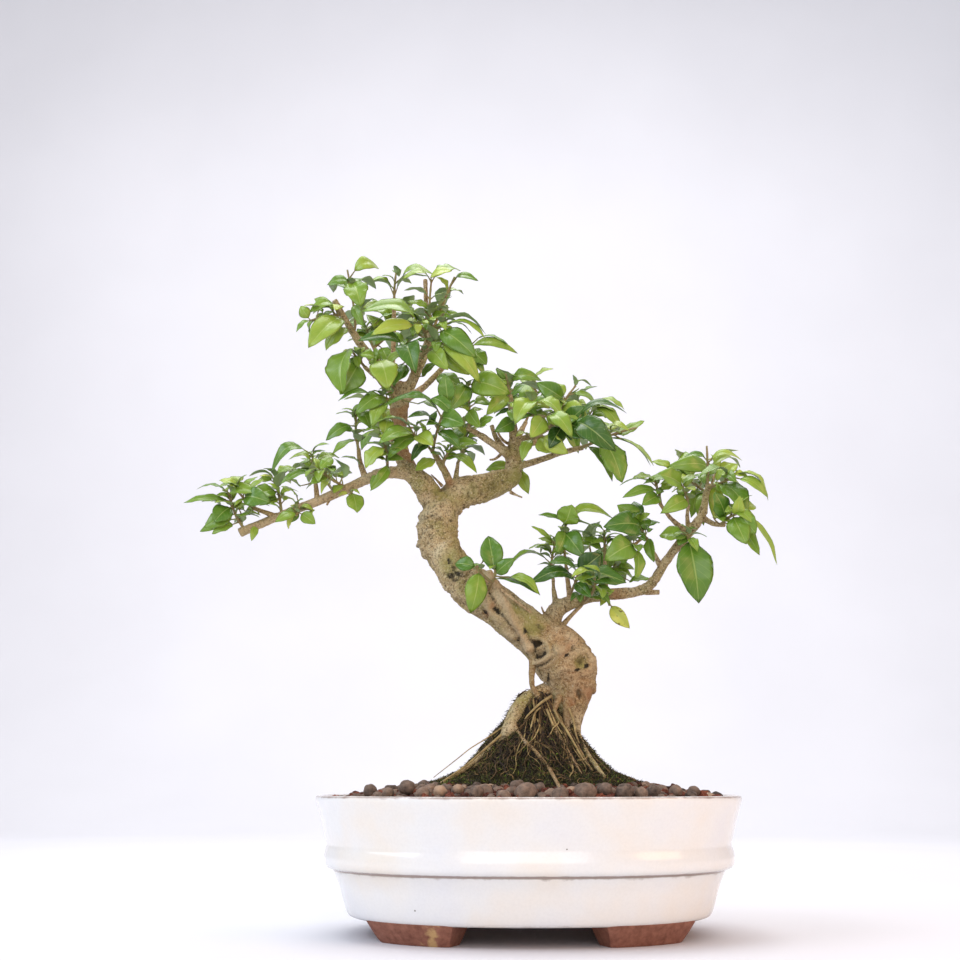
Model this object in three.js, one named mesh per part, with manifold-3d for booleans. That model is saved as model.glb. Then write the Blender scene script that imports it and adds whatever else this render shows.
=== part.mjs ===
// A chinese privet bonsai standing in its oval glazed pot.
// Millimetres, +Z up, the front towards -Y, the origin under the middle of the whole.
import * as THREE from "three";
import { mergeVertices } from "three/addons/utils/BufferGeometryUtils.js";
import Module from "manifold-3d";

const wasm = await Module();
wasm.setup();

// Driving dimensions
const potLength = 250;
const potDepth = 195;
const potHeight = 78;
const potFloor = 18; // top of the pot's floor
const glazeEdge = 11; // the bowl's underside, where the feet begin
const ovalPower = 2.25; // 2 is a true ellipse, more is squarer
const potSegments = 28;
const clearance = 0.3; // between pieces that touch
const eye = new THREE.Vector3(-28, -775, 87); // where the front view is taken from
const pebbleCount = 58;
const pebbleSize = [8, 10.4]; // smallest and largest half width
const pebbleSpacing = 15.4;
const leafThickness = 1.1; // at the midrib
const petioleWidth = 1.3;
const crownDepth = 1.4; // how many times deeper the crown reaches than the depths noted below

// Wall of the bowl from its foot up to the rim, as [inset from the rim's outline, height].
const bowlOutside = [
  [23, 11],
  [19.3, 14],
  [14.3, 30],
  [10.6, 36.8],
  [6.2, 39],
  [5.7, 46.5],
  [7.1, 49.6],
  [3.4, 65],
  [0.2, 74],
  [0.6, 78],
];
const bowlInside = [
  [4.6, 78],
  [8, 70],
  [13.5, 45],
  [20, 27],
];

// Small helpers
function randomFrom(seed) {
  let state = seed >>> 0;
  return () => {
    state = (state + 0x6d2b79f5) >>> 0;
    let t = state;
    t = Math.imul(t ^ (t >>> 15), t | 1);
    t ^= t + Math.imul(t ^ (t >>> 7), t | 61);
    return ((t ^ (t >>> 14)) >>> 0) / 4294967296;
  };
}

// The point at a given depth that shows, from the eye, at x and z of the plane through the pot's middle.
function seen(x, z, depth) {
  const reach = (depth - eye.y) / -eye.y;
  return new THREE.Vector3(eye.x + (x - eye.x) * reach, depth, eye.z + (z - eye.z) * reach);
}

// A smooth curve through points, t from 0 to 1.
function along(points, t) {
  const last = points.length - 1;
  const place = Math.min(Math.max(t, 0), 1) * last;
  const i = Math.min(Math.floor(place), last - 1);
  const u = place - i;
  const p = [i - 1, i, i + 1, i + 2].map((k) => points[Math.min(Math.max(k, 0), last)]);
  const blend = (a, b, c, d) =>
    0.5 * (2 * b + (c - a) * u + (2 * a - 5 * b + 4 * c - d) * u * u + (3 * b - a - 3 * c + d) * u * u * u);
  return new THREE.Vector3(
    blend(p[0].x, p[1].x, p[2].x, p[3].x),
    blend(p[0].y, p[1].y, p[2].y, p[3].y),
    blend(p[0].z, p[1].z, p[2].z, p[3].z),
  );
}

// A closed solid from vertices and triangles, with its faces turned outwards.
function solidFrom(vertices, triangles) {
  let volume = 0;
  for (const [a, b, c] of triangles) {
    volume += vertices[a].dot(new THREE.Vector3().crossVectors(vertices[b], vertices[c]));
  }
  const faces = volume < 0 ? triangles.map(([a, b, c]) => [a, c, b]) : triangles;
  return new wasm.Manifold(
    new wasm.Mesh({
      numProp: 3,
      vertProperties: new Float32Array(vertices.flatMap((v) => [v.x, v.y, v.z])),
      triVerts: new Uint32Array(faces.flat()),
    }),
  );
}

function solidOf(geometry, tolerance = 1e-4) {
  const bare = geometry.clone();
  bare.deleteAttribute("normal");
  bare.deleteAttribute("uv");
  const merged = mergeVertices(bare, tolerance);
  return new wasm.Manifold(
    new wasm.Mesh({
      numProp: 3,
      vertProperties: merged.attributes.position.array,
      triVerts: new Uint32Array(merged.index.array),
    }),
  );
}

const joined = (solids) => solids.reduce((all, one) => all.add(one));

// True when each edge of a solid borders two faces, so that it doesn't touch itself along an edge.
function clean(solid) {
  const { vertProperties, triVerts } = solid.getMesh();
  const corner = (i) => vertProperties.slice(3 * i, 3 * i + 3).join();
  const uses = new Map();
  for (let i = 0; i < triVerts.length; i += 3) {
    for (let k = 0; k < 3; k++) {
      const edge = [corner(triVerts[i + k]), corner(triVerts[i + ((k + 1) % 3)])].sort().join();
      uses.set(edge, (uses.get(edge) || 0) + 1);
    }
  }
  return [...uses.values()].every((count) => count === 2);
}

// The main body of a solid, its corners moved to the first grid that leaves none nearly in one place.
const grids = [2e-3, 3e-3, 2.5e-3, 4e-3, 3.5e-3, 5e-3, 6e-3, 7e-3];

function largestPiece(solid) {
  for (const grid of grids) {
    const geometry = geometryOf(solid);
    const corners = geometry.attributes.position.array;
    corners.forEach((value, i) => {
      corners[i] = Math.round(value / grid) * grid;
    });
    const pieces = solidOf(geometry).decompose().sort((a, b) => b.volume() - a.volume());
    if (clean(pieces[0])) return pieces[0];
  }
  throw new Error("a solid touches itself on every grid");
}

// Rings of equal count, joined side to side and closed at both ends.
function loft(rings) {
  const count = rings[0].length;
  const vertices = rings.flat();
  const triangles = [];
  for (let r = 0; r < rings.length - 1; r++) {
    for (let i = 0; i < count; i++) {
      const j = (i + 1) % count;
      const a = r * count + i;
      const b = r * count + j;
      triangles.push([a, b, b + count], [a, b + count, a + count]);
    }
  }
  const top = (rings.length - 1) * count;
  for (let i = 1; i < count - 1; i++) {
    triangles.push([0, i + 1, i], [top, top + i, top + i + 1]);
  }
  return solidFrom(vertices, triangles);
}

// Round rods: the path is a list of [point, radius], smoothed by extra rings between its points.
function rod(path, { sides = 6, steps = 1, grow = 0, lumps = 0 } = {}) {
  const points = path.map((p) => p[0]);
  const radii = path.map((p) => new THREE.Vector3(p[1], 0, 0));
  const total = (points.length - 1) * steps;
  const rings = [];
  let side = null;
  for (let k = 0; k <= total; k++) {
    const t = k / total;
    const centre = along(points, t);
    const ahead = along(points, Math.min(t + 0.01, 1));
    const tangent = ahead.sub(along(points, Math.max(t - 0.01, 0))).normalize();
    if (!side) side = new THREE.Vector3(0.31, 0.9, 0.17);
    side.addScaledVector(tangent, -side.dot(tangent)).normalize();
    const other = new THREE.Vector3().crossVectors(tangent, side);
    const radius = along(radii, t).x;
    if (k === 0) centre.addScaledVector(tangent, -grow);
    if (k === total) centre.addScaledVector(tangent, grow);
    const ring = [];
    for (let i = 0; i < sides; i++) {
      const angle = (2 * Math.PI * i) / sides;
      const lump = 1 + lumps * (Math.sin(3 * angle + 7 * t) + 0.7 * Math.sin(2 * angle - 17 * t));
      const r = radius * lump + grow;
      ring.push(
        centre
          .clone()
          .addScaledVector(side, r * Math.cos(angle))
          .addScaledVector(other, r * Math.sin(angle)),
      );
    }
    rings.push(ring);
  }
  return loft(rings);
}

// Oval outline of the pot, drawn in by an inset, at one height.
function oval(inset, height, count = potSegments) {
  const halfLength = potLength / 2 - inset;
  const halfDepth = potDepth / 2 - inset;
  return Array.from({ length: count }, (_, i) => {
    const angle = (2 * Math.PI * i) / count;
    const c = Math.cos(angle);
    const s = Math.sin(angle);
    return new THREE.Vector3(
      halfLength * Math.sign(c) * Math.abs(c) ** (2 / ovalPower),
      halfDepth * Math.sign(s) * Math.abs(s) ** (2 / ovalPower),
      height,
    );
  });
}

// The pot: bowl, belt and four tapering feet in one fired piece, with two drain holes
const drainX = 52;
const drainRadius = 8;
const foot = { top: 21, bottom: 29, topInner: 44, bottomInner: 40, from: 0.56, to: 1.24, taper: 0.09 };

function footSolid(signX, signY) {
  const steps = 6;
  const ringAt = (outer, inner, height, from, to) => {
    const ring = [];
    const point = (inset, angle) =>
      new THREE.Vector3(
        signX * (potLength / 2 - inset) * Math.cos(angle) ** (2 / ovalPower),
        signY * (potDepth / 2 - inset) * Math.sin(angle) ** (2 / ovalPower),
        height,
      );
    for (let i = 0; i <= steps; i++) ring.push(point(outer, from + ((to - from) * i) / steps));
    for (let i = steps; i >= 0; i--) ring.push(point(inner, from + ((to - from) * i) / steps));
    return ring;
  };
  const rings = [
    ringAt(foot.bottom, foot.bottomInner, 0, foot.from + foot.taper, foot.to - foot.taper),
    ringAt(foot.top, foot.topInner, glazeEdge + 1.5, foot.from, foot.to),
  ];
  const count = rings[0].length;
  const triangles = [];
  for (let i = 0; i < count; i++) {
    const j = (i + 1) % count;
    triangles.push([i, j, j + count], [i, j + count, i + count]);
  }
  for (let i = 0; i < steps; i++) {
    const a = i;
    const b = i + 1;
    const c = count - 2 - i;
    const d = count - 1 - i;
    triangles.push([a, c, b], [a, d, c]);
    triangles.push([a + count, b + count, c + count], [a + count, c + count, d + count]);
  }
  return solidFrom(rings.flat(), triangles);
}

function cylinderAt(x, y, zLow, zHigh, radius, sides) {
  const geometry = new THREE.CylinderGeometry(radius, radius, zHigh - zLow, sides);
  geometry.rotateX(Math.PI / 2);
  geometry.translate(x, y, (zLow + zHigh) / 2);
  return solidOf(geometry);
}

function makePot() {
  const outer = loft(bowlOutside.map(([inset, height]) => oval(inset, height)));
  const hollow = loft(
    [[32, potFloor], ...bowlInside.slice().reverse(), [3.2, potHeight + 3]].map(([inset, height]) =>
      oval(inset, height),
    ),
  );
  let pot = outer;
  for (const signX of [-1, 1]) {
    for (const signY of [-1, 1]) pot = pot.add(footSolid(signX, signY));
  }
  pot = pot.subtract(hollow);
  for (const x of [-drainX, drainX]) {
    pot = pot.subtract(cylinderAt(x, 0, glazeEdge - 5, potFloor + 5, drainRadius, 20));
  }
  return pot;
}

// Drain screens: squares of plastic mesh over the holes, on the pot's floor
const screenSide = 24;
const screenThickness = 1;
const screenBars = 3;
const screenBar = 1.6;

function makeScreen() {
  const bars = [];
  for (let i = 0; i < screenBars; i++) {
    const place = -screenSide / 2 + screenBar / 2 + (i * (screenSide - screenBar)) / (screenBars - 1);
    const across = new THREE.BoxGeometry(screenSide, screenBar, screenThickness);
    const lengthwise = new THREE.BoxGeometry(screenBar, screenSide, screenThickness);
    across.translate(0, place, screenThickness / 2);
    lengthwise.translate(place, 0, screenThickness / 2);
    bars.push(solidOf(across), solidOf(lengthwise));
  }
  return joined(bars);
}

// The soil's surface: a mound of fibrous roots round the trunk, as [distance, height], falling to the rim
const moundX = 5;
const moundStretch = { x: 1.06, y: 1 }; // along the pot and across it
const moundReach = 50; // where the pebbles begin
const moundFlank = [
  [0, 139], [9, 136.5], [17, 121], [24.5, 112], [30, 105], [35, 98], [43.5, 90], [53, 86], [64, 82], [90, 78],
  [130, 74],
];

const moundDistance = (x, y) => Math.hypot((x - moundX) / moundStretch.x, y / moundStretch.y);

function soilHeight(x, y) {
  const out = moundDistance(x, y);
  let k = 1;
  while (k < moundFlank.length - 1 && moundFlank[k][0] < out) k++;
  const [r0, z0] = moundFlank[k - 1];
  const [r1, z1] = moundFlank[k];
  const rim = Math.abs(x / (potLength / 2)) ** ovalPower + Math.abs(y / (potDepth / 2)) ** ovalPower;
  return z0 + ((z1 - z0) * Math.min(out - r0, r1 - r0)) / (r1 - r0) - 2.5 * Math.min(rim, 1) ** 3;
}

// The wood. Each limb is a list of [x, z, depth, radius] in the front view.
const trunk = [
  [21, 104, 7, 8],
  [22, 117, 6, 9.4],
  [24, 129, 5, 12],
  [26.5, 142, 3, 15.3],
  [25, 152, 2, 17],
  [17, 165, 0, 17.5],
  [4, 176, -3, 14.5],
  [-11, 187, -6, 13],
  [-24, 196, -8, 12],
  [-37, 206, -8, 12.4],
  [-46, 217, -6, 12],
  [-53, 230, -3, 11.6],
  [-54, 242, 0, 11.8],
  [-51, 254, 2, 11],
];
const limbs = [
  [
    [-56, 243, 0, 9], [-44, 260, 4, 9.4], [-30, 265, 6, 8.8], [-18, 268, 8, 8], [-9, 272, 9, 6.4],
    [-7, 281, 8, 5], [-8, 291, 7, 4.6],
  ],
  [[-50, 243, 0, 8], [-57, 255, 0, 7.4], [-64, 265, -1, 6], [-71, 273, -2, 5], [-80, 278, -5, 4.2]],
  [
    [-72, 274, -2, 4.4], [-90, 274, -7, 3.6], [-110, 265, -10, 3.2], [-128, 257, -12, 3],
    [-153, 247, -13, 2.7], [-178, 236, -14, 2.9],
  ],
  [
    [-64, 266, -1, 5], [-73, 277, 2, 5.4], [-79, 291, 4, 5.4], [-80, 308, 4, 5.6],
    [-79, 326, 3, 6.2], [-79, 333, 3, 6.6],
  ],
  [[-79, 326, 3, 4], [-89, 339, 0, 3.6], [-98, 350, -3, 3], [-110, 367, -7, 2.4], [-123, 390, -9, 1.9]],
  [[-77, 324, 2, 3.6], [-72, 335, 0, 3], [-67, 349, -5, 2.6], [-58, 371, -8, 2.2]],
  [[-77, 322, 4, 3.2], [-63, 332, 10, 2.2], [-48, 349, 13, 1.7]],
  [[-80, 322, 6, 2.4], [-84, 340, 10, 1.7], [-84, 366, 12, 1.5], [-84, 391, 12, 1.3]],
  [[-80, 320, 2, 2.6], [-89, 332, -4, 1.7], [-103, 345, -11, 1.4]],
  [[-80, 320, 8, 3], [-88, 338, 22, 2.1], [-94, 351, 34, 1.7]],
  [[-78, 318, 8, 3], [-68, 340, 22, 2.1], [-61, 356, 33, 1.7]],
  [[-61, 366, -7, 1.6], [-63, 384, -5, 1.4], [-64, 404, -4, 1.4]],
  [[-9, 286, 6, 3.6], [-14, 289, 0, 2.6], [-28, 299, -8, 2], [-37, 304, -10, 1.6]],
  [[-8, 286, 7, 4], [-7, 296, 2, 3.2], [-8, 310, -2, 2.4], [-9, 326, -4, 1.6]],
  [[-8, 288, 7, 3.6], [-1, 296, 2, 2.6], [8, 300, -2, 2.2], [18, 305, -5, 1.7]],
  [[-9, 277, 8, 2.6], [10, 283, 2, 2.3], [24, 288, -2, 2], [37, 291, -4, 1.7]],
  [[-8, 286, 9, 3.2], [-4, 298, 18, 2.2], [1, 308, 27, 1.7]],
  [[-6, 290, 8, 3], [10, 296, 16, 2.2], [24, 300, 22, 1.7]],
  [[-10, 285, 7, 3], [-18, 297, 4, 1.8], [-21, 306, 2, 1.5]],
  [[-46, 266, 2, 3], [-52, 277, -3, 1.8], [-59, 290, -8, 1.4]],
  [[-44, 266, 4, 2.6], [-43, 275, 6, 1.6], [-42, 282, 8, 1.3]],
  [
    [14, 168, 2, 8], [15, 180, 2, 6.4], [20, 189, 2, 5], [32, 194, 2, 4], [46, 197, 2, 3.6],
    [66, 199, 1, 3.2], [77, 204, 0, 3.1], [88, 220, -2, 3], [102, 237, -4, 3], [110, 247, -5, 2.8],
    [113, 259, -5, 2.3], [115, 268, -5, 1.8],
  ],
  [[70, 200, 1, 2.4], [77, 199, 0, 1.8], [82, 199, -1, 1.5]],
  [[19, 186, 2, 2.6], [17, 201, 2, 1.4], [17, 208, 1, 1.2]],
  [[28, 192, 1, 2.4], [26, 204, -1, 1.5], [25, 214, -2, 1.3]],
  [[49, 196, 2, 2.2], [49, 208, 3, 1.3], [49, 220, 2, 1.1]],
  [[84, 214, -1, 2], [79, 224, -2, 1.3], [75, 233, -3, 1.1]],
  [[101, 236, -3, 2.4], [91, 245, -5, 1.3], [84, 255, -7, 1.1]],
  [[102, 236, -3, 2.2], [101, 246, -5, 1.2], [102, 254, -7, 1.1]],
  [[20, 176, 3, 2.2], [27, 184, 2, 1.3], [34, 191, 1, 1.2]],
  [[110, 246, -4, 2.2], [117, 242, -9, 1.5], [124, 241, -13, 1.2]],
  [[-130, 256, -12, 2], [-131, 264, -12, 1.4], [-132, 271, -12, 1.2]],
  [[-154, 246, -13, 2], [-162, 249, -14, 1.4], [-170, 252, -15, 1.2]],
  [[-100, 270, -8, 2.2], [-104, 282, -6, 1.5], [-105, 290, -5, 1.3]],
  [[-76, 276, -2, 2.6], [-82, 290, 10, 1.8], [-87, 300, 22, 1.4]],
];
const roots = [
  [[12, 140, -2, 4.6], [-1, 131.5, -6, 4.2], [-7, 122, -9, 4], [-11, 112, -11, 3.2], [-18, 100, -13, 2]],
  [[-3, 132, -11, 2.2], [-7, 120, -15, 1.8], [-3, 111, -20, 1.7], [5, 103, -25, 1.7], [13, 93, -31, 1.6],
    [20, 80, -38, 1.4]],
  [[20, 136, -6, 4], [16, 126, -12, 2], [17, 116, -18, 1.5], [24, 104, -25, 1.4], [32, 90, -33, 1.2]],
  [[24, 134, -6, 5], [24, 122, -12, 2.2], [29, 108, -20, 1.6], [38, 92, -30, 1.4]],
  [[28, 132, 0, 5], [30, 118, -3, 2.6], [35, 103, -6, 1.8], [46, 88, -8, 1.4]],
  [[26, 134, 10, 7], [28, 118, 18, 3.6], [33, 103, 27, 2.4], [41, 86, 38, 1.6]],
  [[16, 138, 8, 7], [8, 122, 18, 3.8], [2, 104, 28, 2.6], [-4, 85, 42, 1.8]],
  [[-6, 118, -8, 3], [-26, 101, -13, 1.8], [-52, 84, -18, 1.4]],
  [[4, 158, -7, 2.4], [3, 147, -9, 1.7], [4, 140, -9, 1.6], [9, 132, -8, 2]],
];

const rodPath = (list, deeper = 1) =>
  list.map(([x, z, depth, radius]) => [seen(x, z, depth * deeper), radius]);

// A root's path, each lower point moved in depth, or else let down, until it lies on the mound.
const rootFree = 126; // the height above which a root stands clear of the mound
const rootPath = (list) =>
  list.map(([x, z, depth, radius]) => {
    const lies = (p) => soilHeight(p.x, p.y) >= p.z - 0.4 * radius;
    if (z > rootFree) return [seen(x, z, depth), radius];
    for (let d = -70; depth < 0 && d < depth + 10; d += 0.5) {
      if (lies(seen(x, z, d))) return [seen(x, z, d), radius];
    }
    const p = seen(x, z, depth);
    p.z = Math.min(p.z, soilHeight(p.x, p.y) + 0.4 * radius);
    return [p, radius];
  });

function woodSolid(grow) {
  const pieces = [rod(rodPath(trunk), { sides: 10, grow, lumps: 0.06 })];
  for (const path of limbs) {
    const sides = path[0][3] > 7 ? 8 : path[0][3] > 3.5 ? 5 : 4;
    pieces.push(rod(rodPath(path, crownDepth), { sides, grow }));
  }
  for (const path of roots) pieces.push(rod(rootPath(path), { sides: 4, grow }));
  return joined(pieces);
}

// The soil: the pot's filling, with clay pebbles all over but for the mound. Each pebble has five sloping
// sides and a flat crown, and its foot is sunk in the filling.
function pebble(x, y, z, size, turn, flat) {
  const ring = (radius, height, twist) =>
    Array.from({ length: 5 }, (_, i) => {
      const angle = turn + twist + (2 * Math.PI * i) / 5;
      const r = radius * size;
      const rise = height * size * flat;
      return new THREE.Vector3(x + r * Math.cos(angle), y + 0.88 * r * Math.sin(angle), z + rise);
    });
  return loft([ring(1.08, -0.45, 0), ring(0.62, 0.8, 0.25)]);
}

function makeSoil(fatWood) {
  const wallInset = 7.6;
  const around = 20;
  const rings = [oval(34, potFloor + clearance, around), oval(21.4, 28, around), oval(11, 62, around)];
  const shares = [1, 0.76, 0.55, 0.4, 0.3, 0.22, 0.11];
  for (const share of shares) {
    rings.push(
      oval(wallInset + 1, 0, around).map((v) => {
        const x = moundX * (1 - share) + v.x * share;
        const y = v.y * share;
        return new THREE.Vector3(x, y, soilHeight(x, y));
      }),
    );
  }
  let soil = loft(rings);
  const random = randomFrom(41);
  const placed = [];
  for (let tries = 0; placed.length < pebbleCount && tries < 20000; tries++) {
    const angle = random() * 2 * Math.PI;
    const reach = Math.sqrt(random());
    const size = pebbleSize[0] + random() * (pebbleSize[1] - pebbleSize[0]);
    const turn = random() * Math.PI;
    const flat = 0.56 + random() * 0.16;
    const x = (potLength / 2 - 15) * reach * Math.cos(angle);
    const y = (potDepth / 2 - 15) * reach * Math.sin(angle);
    if (moundDistance(x, y) < moundReach) continue;
    if (placed.some((p) => Math.hypot(p.x - x, p.y - y) < pebbleSpacing)) continue;
    placed.push({ x, y });
    soil = soil.add(pebble(x, y, soilHeight(x, y) + size * 0.1, size, turn, flat));
  }
  for (const x of [-drainX, drainX]) {
    const pocket = new THREE.BoxGeometry(screenSide + 1, screenSide + 1, 6);
    pocket.translate(x, 0, potFloor + screenThickness + 2 * clearance - 3);
    soil = soil.subtract(solidOf(pocket));
  }
  return largestPiece(soil.subtract(fatWood));
}

// Leafy shoots. A stem is a list of [x, z, depth] in the front view, and a leaf set by hand is
// [base x, base z, tip x, tip z, base depth, tip depth, width, turn of its face to the front, arch].
// Each stem also carries opposite pairs of leaves by rule, each pair turned a quarter from the last.
const shoots = [
  {
    name: "top_left_tip", pairs: 0, size: 14,
    stems: [[[-110, 365, -7], [-109, 374, -9], [-111, 390, -11], [-115, 411, -12]]],
    leaves: [
      [-113, 406, -94, 413, -12, -8, 11, 0.7, 0.3],
      [-112, 401, -128, 401, -12, -15, 9, 0.6, 0.22],
      [-112, 402, -106, 387, -12, -22, 16, 1, 0.1],
      [-110, 387, -104, 372, -10, -16, 7, 0.8, 0.12],
      [-111, 392, -96, 398, -10, 6, 11, 0.3, 0.2],
      [-112, 394, -124, 396, -11, 6, 11, 0.3, 0.2],
    ],
  },
  {
    name: "top_left_end", pairs: 1, size: 13,
    stems: [[[-118, 380, -8], [-127, 379, -11], [-138, 376, -14]]],
    leaves: [
      [-121, 383, -139, 382, -9, -16, 10, 0.6, 0.25],
      [-124, 384, -136, 391, -9, -11, 7, 0.8, 0.2],
      [-116, 377, -139, 358, -9, -22, 18, 0.8, 0.14],
      [-138, 376, -145, 386, -14, -16, 8, 1, 0.1],
      [-136, 375, -147, 368, -14, -19, 5, 0.5, 0.15],
      [-119, 378, -131, 364, -9, -2, 9, 0.7, 0.1],
    ],
  },
  {
    name: "top_left_hanging", pairs: 1, size: 10,
    stems: [[[-101, 344, -11], [-106, 349, -13], [-110, 354, -14]]],
    leaves: [
      [-106, 348, -117, 327, -13, -18, 18, 1, 0.08],
      [-109, 353, -106, 344, -14, -17, 6, 1, 0.05],
    ],
  },
  {
    name: "top_upright", pairs: 1, size: 12,
    stems: [[[-84, 386, 12], [-84, 398, 12], [-83, 411, 12]]],
    leaves: [
      [-85, 393, -104, 402, 12, 8, 9, 0.4, 0.3],
      [-83, 393, -61, 407, 12, 8, 11, 0.45, 0.3],
    ],
  },
  {
    name: "top_centre", pairs: 1, size: 16,
    stems: [[[-59, 368, -8], [-61, 386, -9], [-60, 404, -9]]],
    leaves: [
      [-60, 402, -41, 412, -9, -6, 11, 0.7, 0.25],
      [-60, 402, -79, 405, -9, -14, 9, 0.6, 0.25],
    ],
  },
  {
    name: "top_right_stub", pairs: 1, size: 11,
    stems: [[[-57, 369, -8], [-51, 391, -5], [-45, 406, -3]]],
    leaves: [
      [-46, 399, -29, 403, -4, -2, 6, 0.5, 0.3],
      [-53, 384, -63, 385, -6, -2, 6, 0.8, 0.1],
    ],
  },
  {
    name: "top_front", pairs: 0, size: 13,
    stems: [
      [[-61, 362, -7], [-65, 370, -16], [-69, 373, -22]],
      [[-64, 368, -14], [-56, 371, -18], [-52, 372, -20]],
    ],
    leaves: [
      [-67, 371, -105, 384, -18, -32, 15, 0.5, 0.2],
      [-70, 372, -98, 368, -22, -34, 11, 0.7, 0.1],
      [-54, 373, -24, 366, -20, -24, 9, 0.35, 0.28],
      [-54, 370, -33, 369, -18, -12, 7, 0.5, 0.16],
      [-55, 369, -31, 352, -19, -28, 15, 0.6, 0.14],
    ],
  },
  {
    name: "top_right_end", pairs: 1, size: 13,
    stems: [[[-52, 345, 12], [-43, 352, 14], [-35, 358, 14]]],
    leaves: [
      [-35, 357, -4, 355, 14, 10, 8, 0.4, 0.24],
      [-36, 357, -24, 346, 14, 8, 13, 1, 0.08],
      [-39, 354, -25, 340, 14, 10, 7, 0.8, 0.1],
    ],
  },
  {
    name: "top_low_right", pairs: 1, size: 13,
    stems: [[[-64, 352, -5], [-58, 358, -14], [-54, 361, -20]]],
    leaves: [
      [-54, 360, -28, 336, -20, -26, 12, 0.6, 0.16],
      [-56, 357, -35, 339, -17, -18, 11, 0.7, 0.18],
      [-60, 356, -50, 344, -16, -28, 12, 0.9, 0.1],
    ],
  },
  {
    name: "top_low_centre", pairs: 0, size: 13,
    stems: [[[-72, 338, -1], [-74, 350, -12], [-76, 360, -20]]],
    leaves: [
      [-76, 360, -70, 342, -19, -32, 15, 1, 0.12],
      [-77, 347, -84, 333, -12, -20, 10, 0.8, 0.1],
      [-78, 358, -107, 363, -18, -28, 11, 0.6, 0.18],
    ],
  },
  {
    name: "top_low_left", pairs: 0, size: 13,
    stems: [[[-89, 337, 0], [-91, 344, -10], [-95, 349, -17]]],
    leaves: [
      [-94, 349, -87, 330, -16, -26, 18, 0.9, 0.12],
      [-90, 343, -78, 355, -10, -18, 9, 0.7, 0.1],
      [-95, 349, -105, 353, -17, -22, 9, 0.6, 0.16],
    ],
  },
  {
    name: "top_back_left", pairs: 2, size: 20,
    stems: [
      [[-93, 349, 32], [-99, 362, 39], [-104, 377, 42]],
      [[-97, 357, 37], [-88, 366, 44], [-84, 378, 48]],
    ],
    leaves: [],
  },
  {
    name: "top_back_right", pairs: 2, size: 20,
    stems: [
      [[-62, 354, 31], [-57, 366, 38], [-52, 381, 42]],
      [[-59, 361, 35], [-69, 368, 44], [-73, 380, 49]],
    ],
    leaves: [],
  },
  {
    name: "top_stump", pairs: 1, size: 12,
    stems: [[[-84, 324, 0], [-89, 322, -8], [-95, 322, -14]]],
    leaves: [
      [-95, 322, -119, 323, -14, -18, 8, 0.4, 0.24],
      [-87, 322, -107, 315, -8, -20, 13, 0.6, 0.16],
      [-88, 321, -97, 306, -9, -22, 11, 0.8, 0.1],
    ],
  },
  {
    name: "middle_front", pairs: 0, size: 13,
    stems: [[[-58, 289, -7], [-56, 300, -16], [-53, 311, -20]]],
    leaves: [
      [-53, 311, -90, 319, -20, -26, 10, 0.5, 0.2],
      [-56, 305, -74, 312, -18, -28, 9, 0.6, 0.16],
      [-53, 310, -38, 306, -20, -30, 13, 0.9, 0.14],
      [-56, 301, -40, 291, -17, -24, 9, 0.7, 0.14],
    ],
  },
  {
    name: "middle_upright", pairs: 0, size: 12,
    stems: [[[-36, 302, -10], [-35, 316, -9], [-36, 334, -9]]],
    leaves: [
      [-37, 333, -46, 317, -9, -20, 13, 1, 0.12],
      [-35, 332, -10, 328, -9, -18, 18, 0.9, 0.16],
      [-35, 325, -45, 328, -9, 2, 9, 0.6, 0.12],
      [-35, 316, -28, 304, -9, -18, 9, 0.9, 0.1],
      [-35, 318, -20, 318, -9, 2, 10, 0.5, 0.16],
    ],
  },
  {
    name: "middle_left", pairs: 1, size: 12,
    stems: [[[-58, 288, -7], [-65, 296, -14], [-70, 299, -18]]],
    leaves: [
      [-70, 299, -98, 306, -18, -24, 9, 0.4, 0.2],
      [-69, 299, -58, 292, -17, -28, 11, 1, 0.08],
      [-67, 297, -87, 284, -15, -22, 10, 0.6, 0.16],
      [-70, 299, -92, 296, -18, -30, 13, 0.7, 0.16],
    ],
  },
  {
    name: "middle_low", pairs: 1, size: 12,
    stems: [[[-54, 276, -3], [-50, 285, -9], [-46, 291, -13]]],
    leaves: [
      [-47, 289, -30, 294, -12, -20, 9, 0.7, 0.14],
      [-49, 285, -30, 275, -9, -14, 9, 0.8, 0.18],
    ],
  },
  {
    name: "middle_back", pairs: 3, size: 17,
    stems: [[[-42, 280, 9], [-38, 292, 18], [-37, 304, 24]]],
    leaves: [],
  },
  {
    name: "middle_back_left", pairs: 3, size: 18,
    stems: [[[-86, 297, 20], [-92, 306, 29], [-97, 316, 34]]],
    leaves: [],
  },
  {
    name: "middle_front_left", pairs: 3, size: 15,
    stems: [[[-84, 277, -8], [-87, 287, -17], [-90, 297, -22]]],
    leaves: [[-85, 280, -97, 263, -11, -18, 7, 0.9, 0.12]],
  },
  {
    name: "right_top_bud", pairs: 0, size: 12,
    stems: [[[-9, 323, -4], [-10, 331, -5], [-12, 340, -6]]],
    leaves: [
      [-10, 333, 11, 336, -5, -8, 10, 0.6, 0.32],
      [-11, 335, -18, 343, -6, -9, 4, 0.8, 0.1],
      [-9, 327, 14, 327, -5, 6, 10, 0.35, 0.2],
      [-9, 325, -24, 313, -4, -12, 10, 0.9, 0.1],
      [-9, 328, -28, 330, -5, 4, 11, 0.4, 0.2],
    ],
  },
  {
    name: "right_top_front", pairs: 0, size: 16,
    stems: [
      [[-8, 308, -3], [0, 315, -12], [7, 320, -18]],
      [[-3, 312, -8], [8, 312, -16], [15, 311, -22]],
    ],
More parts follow.
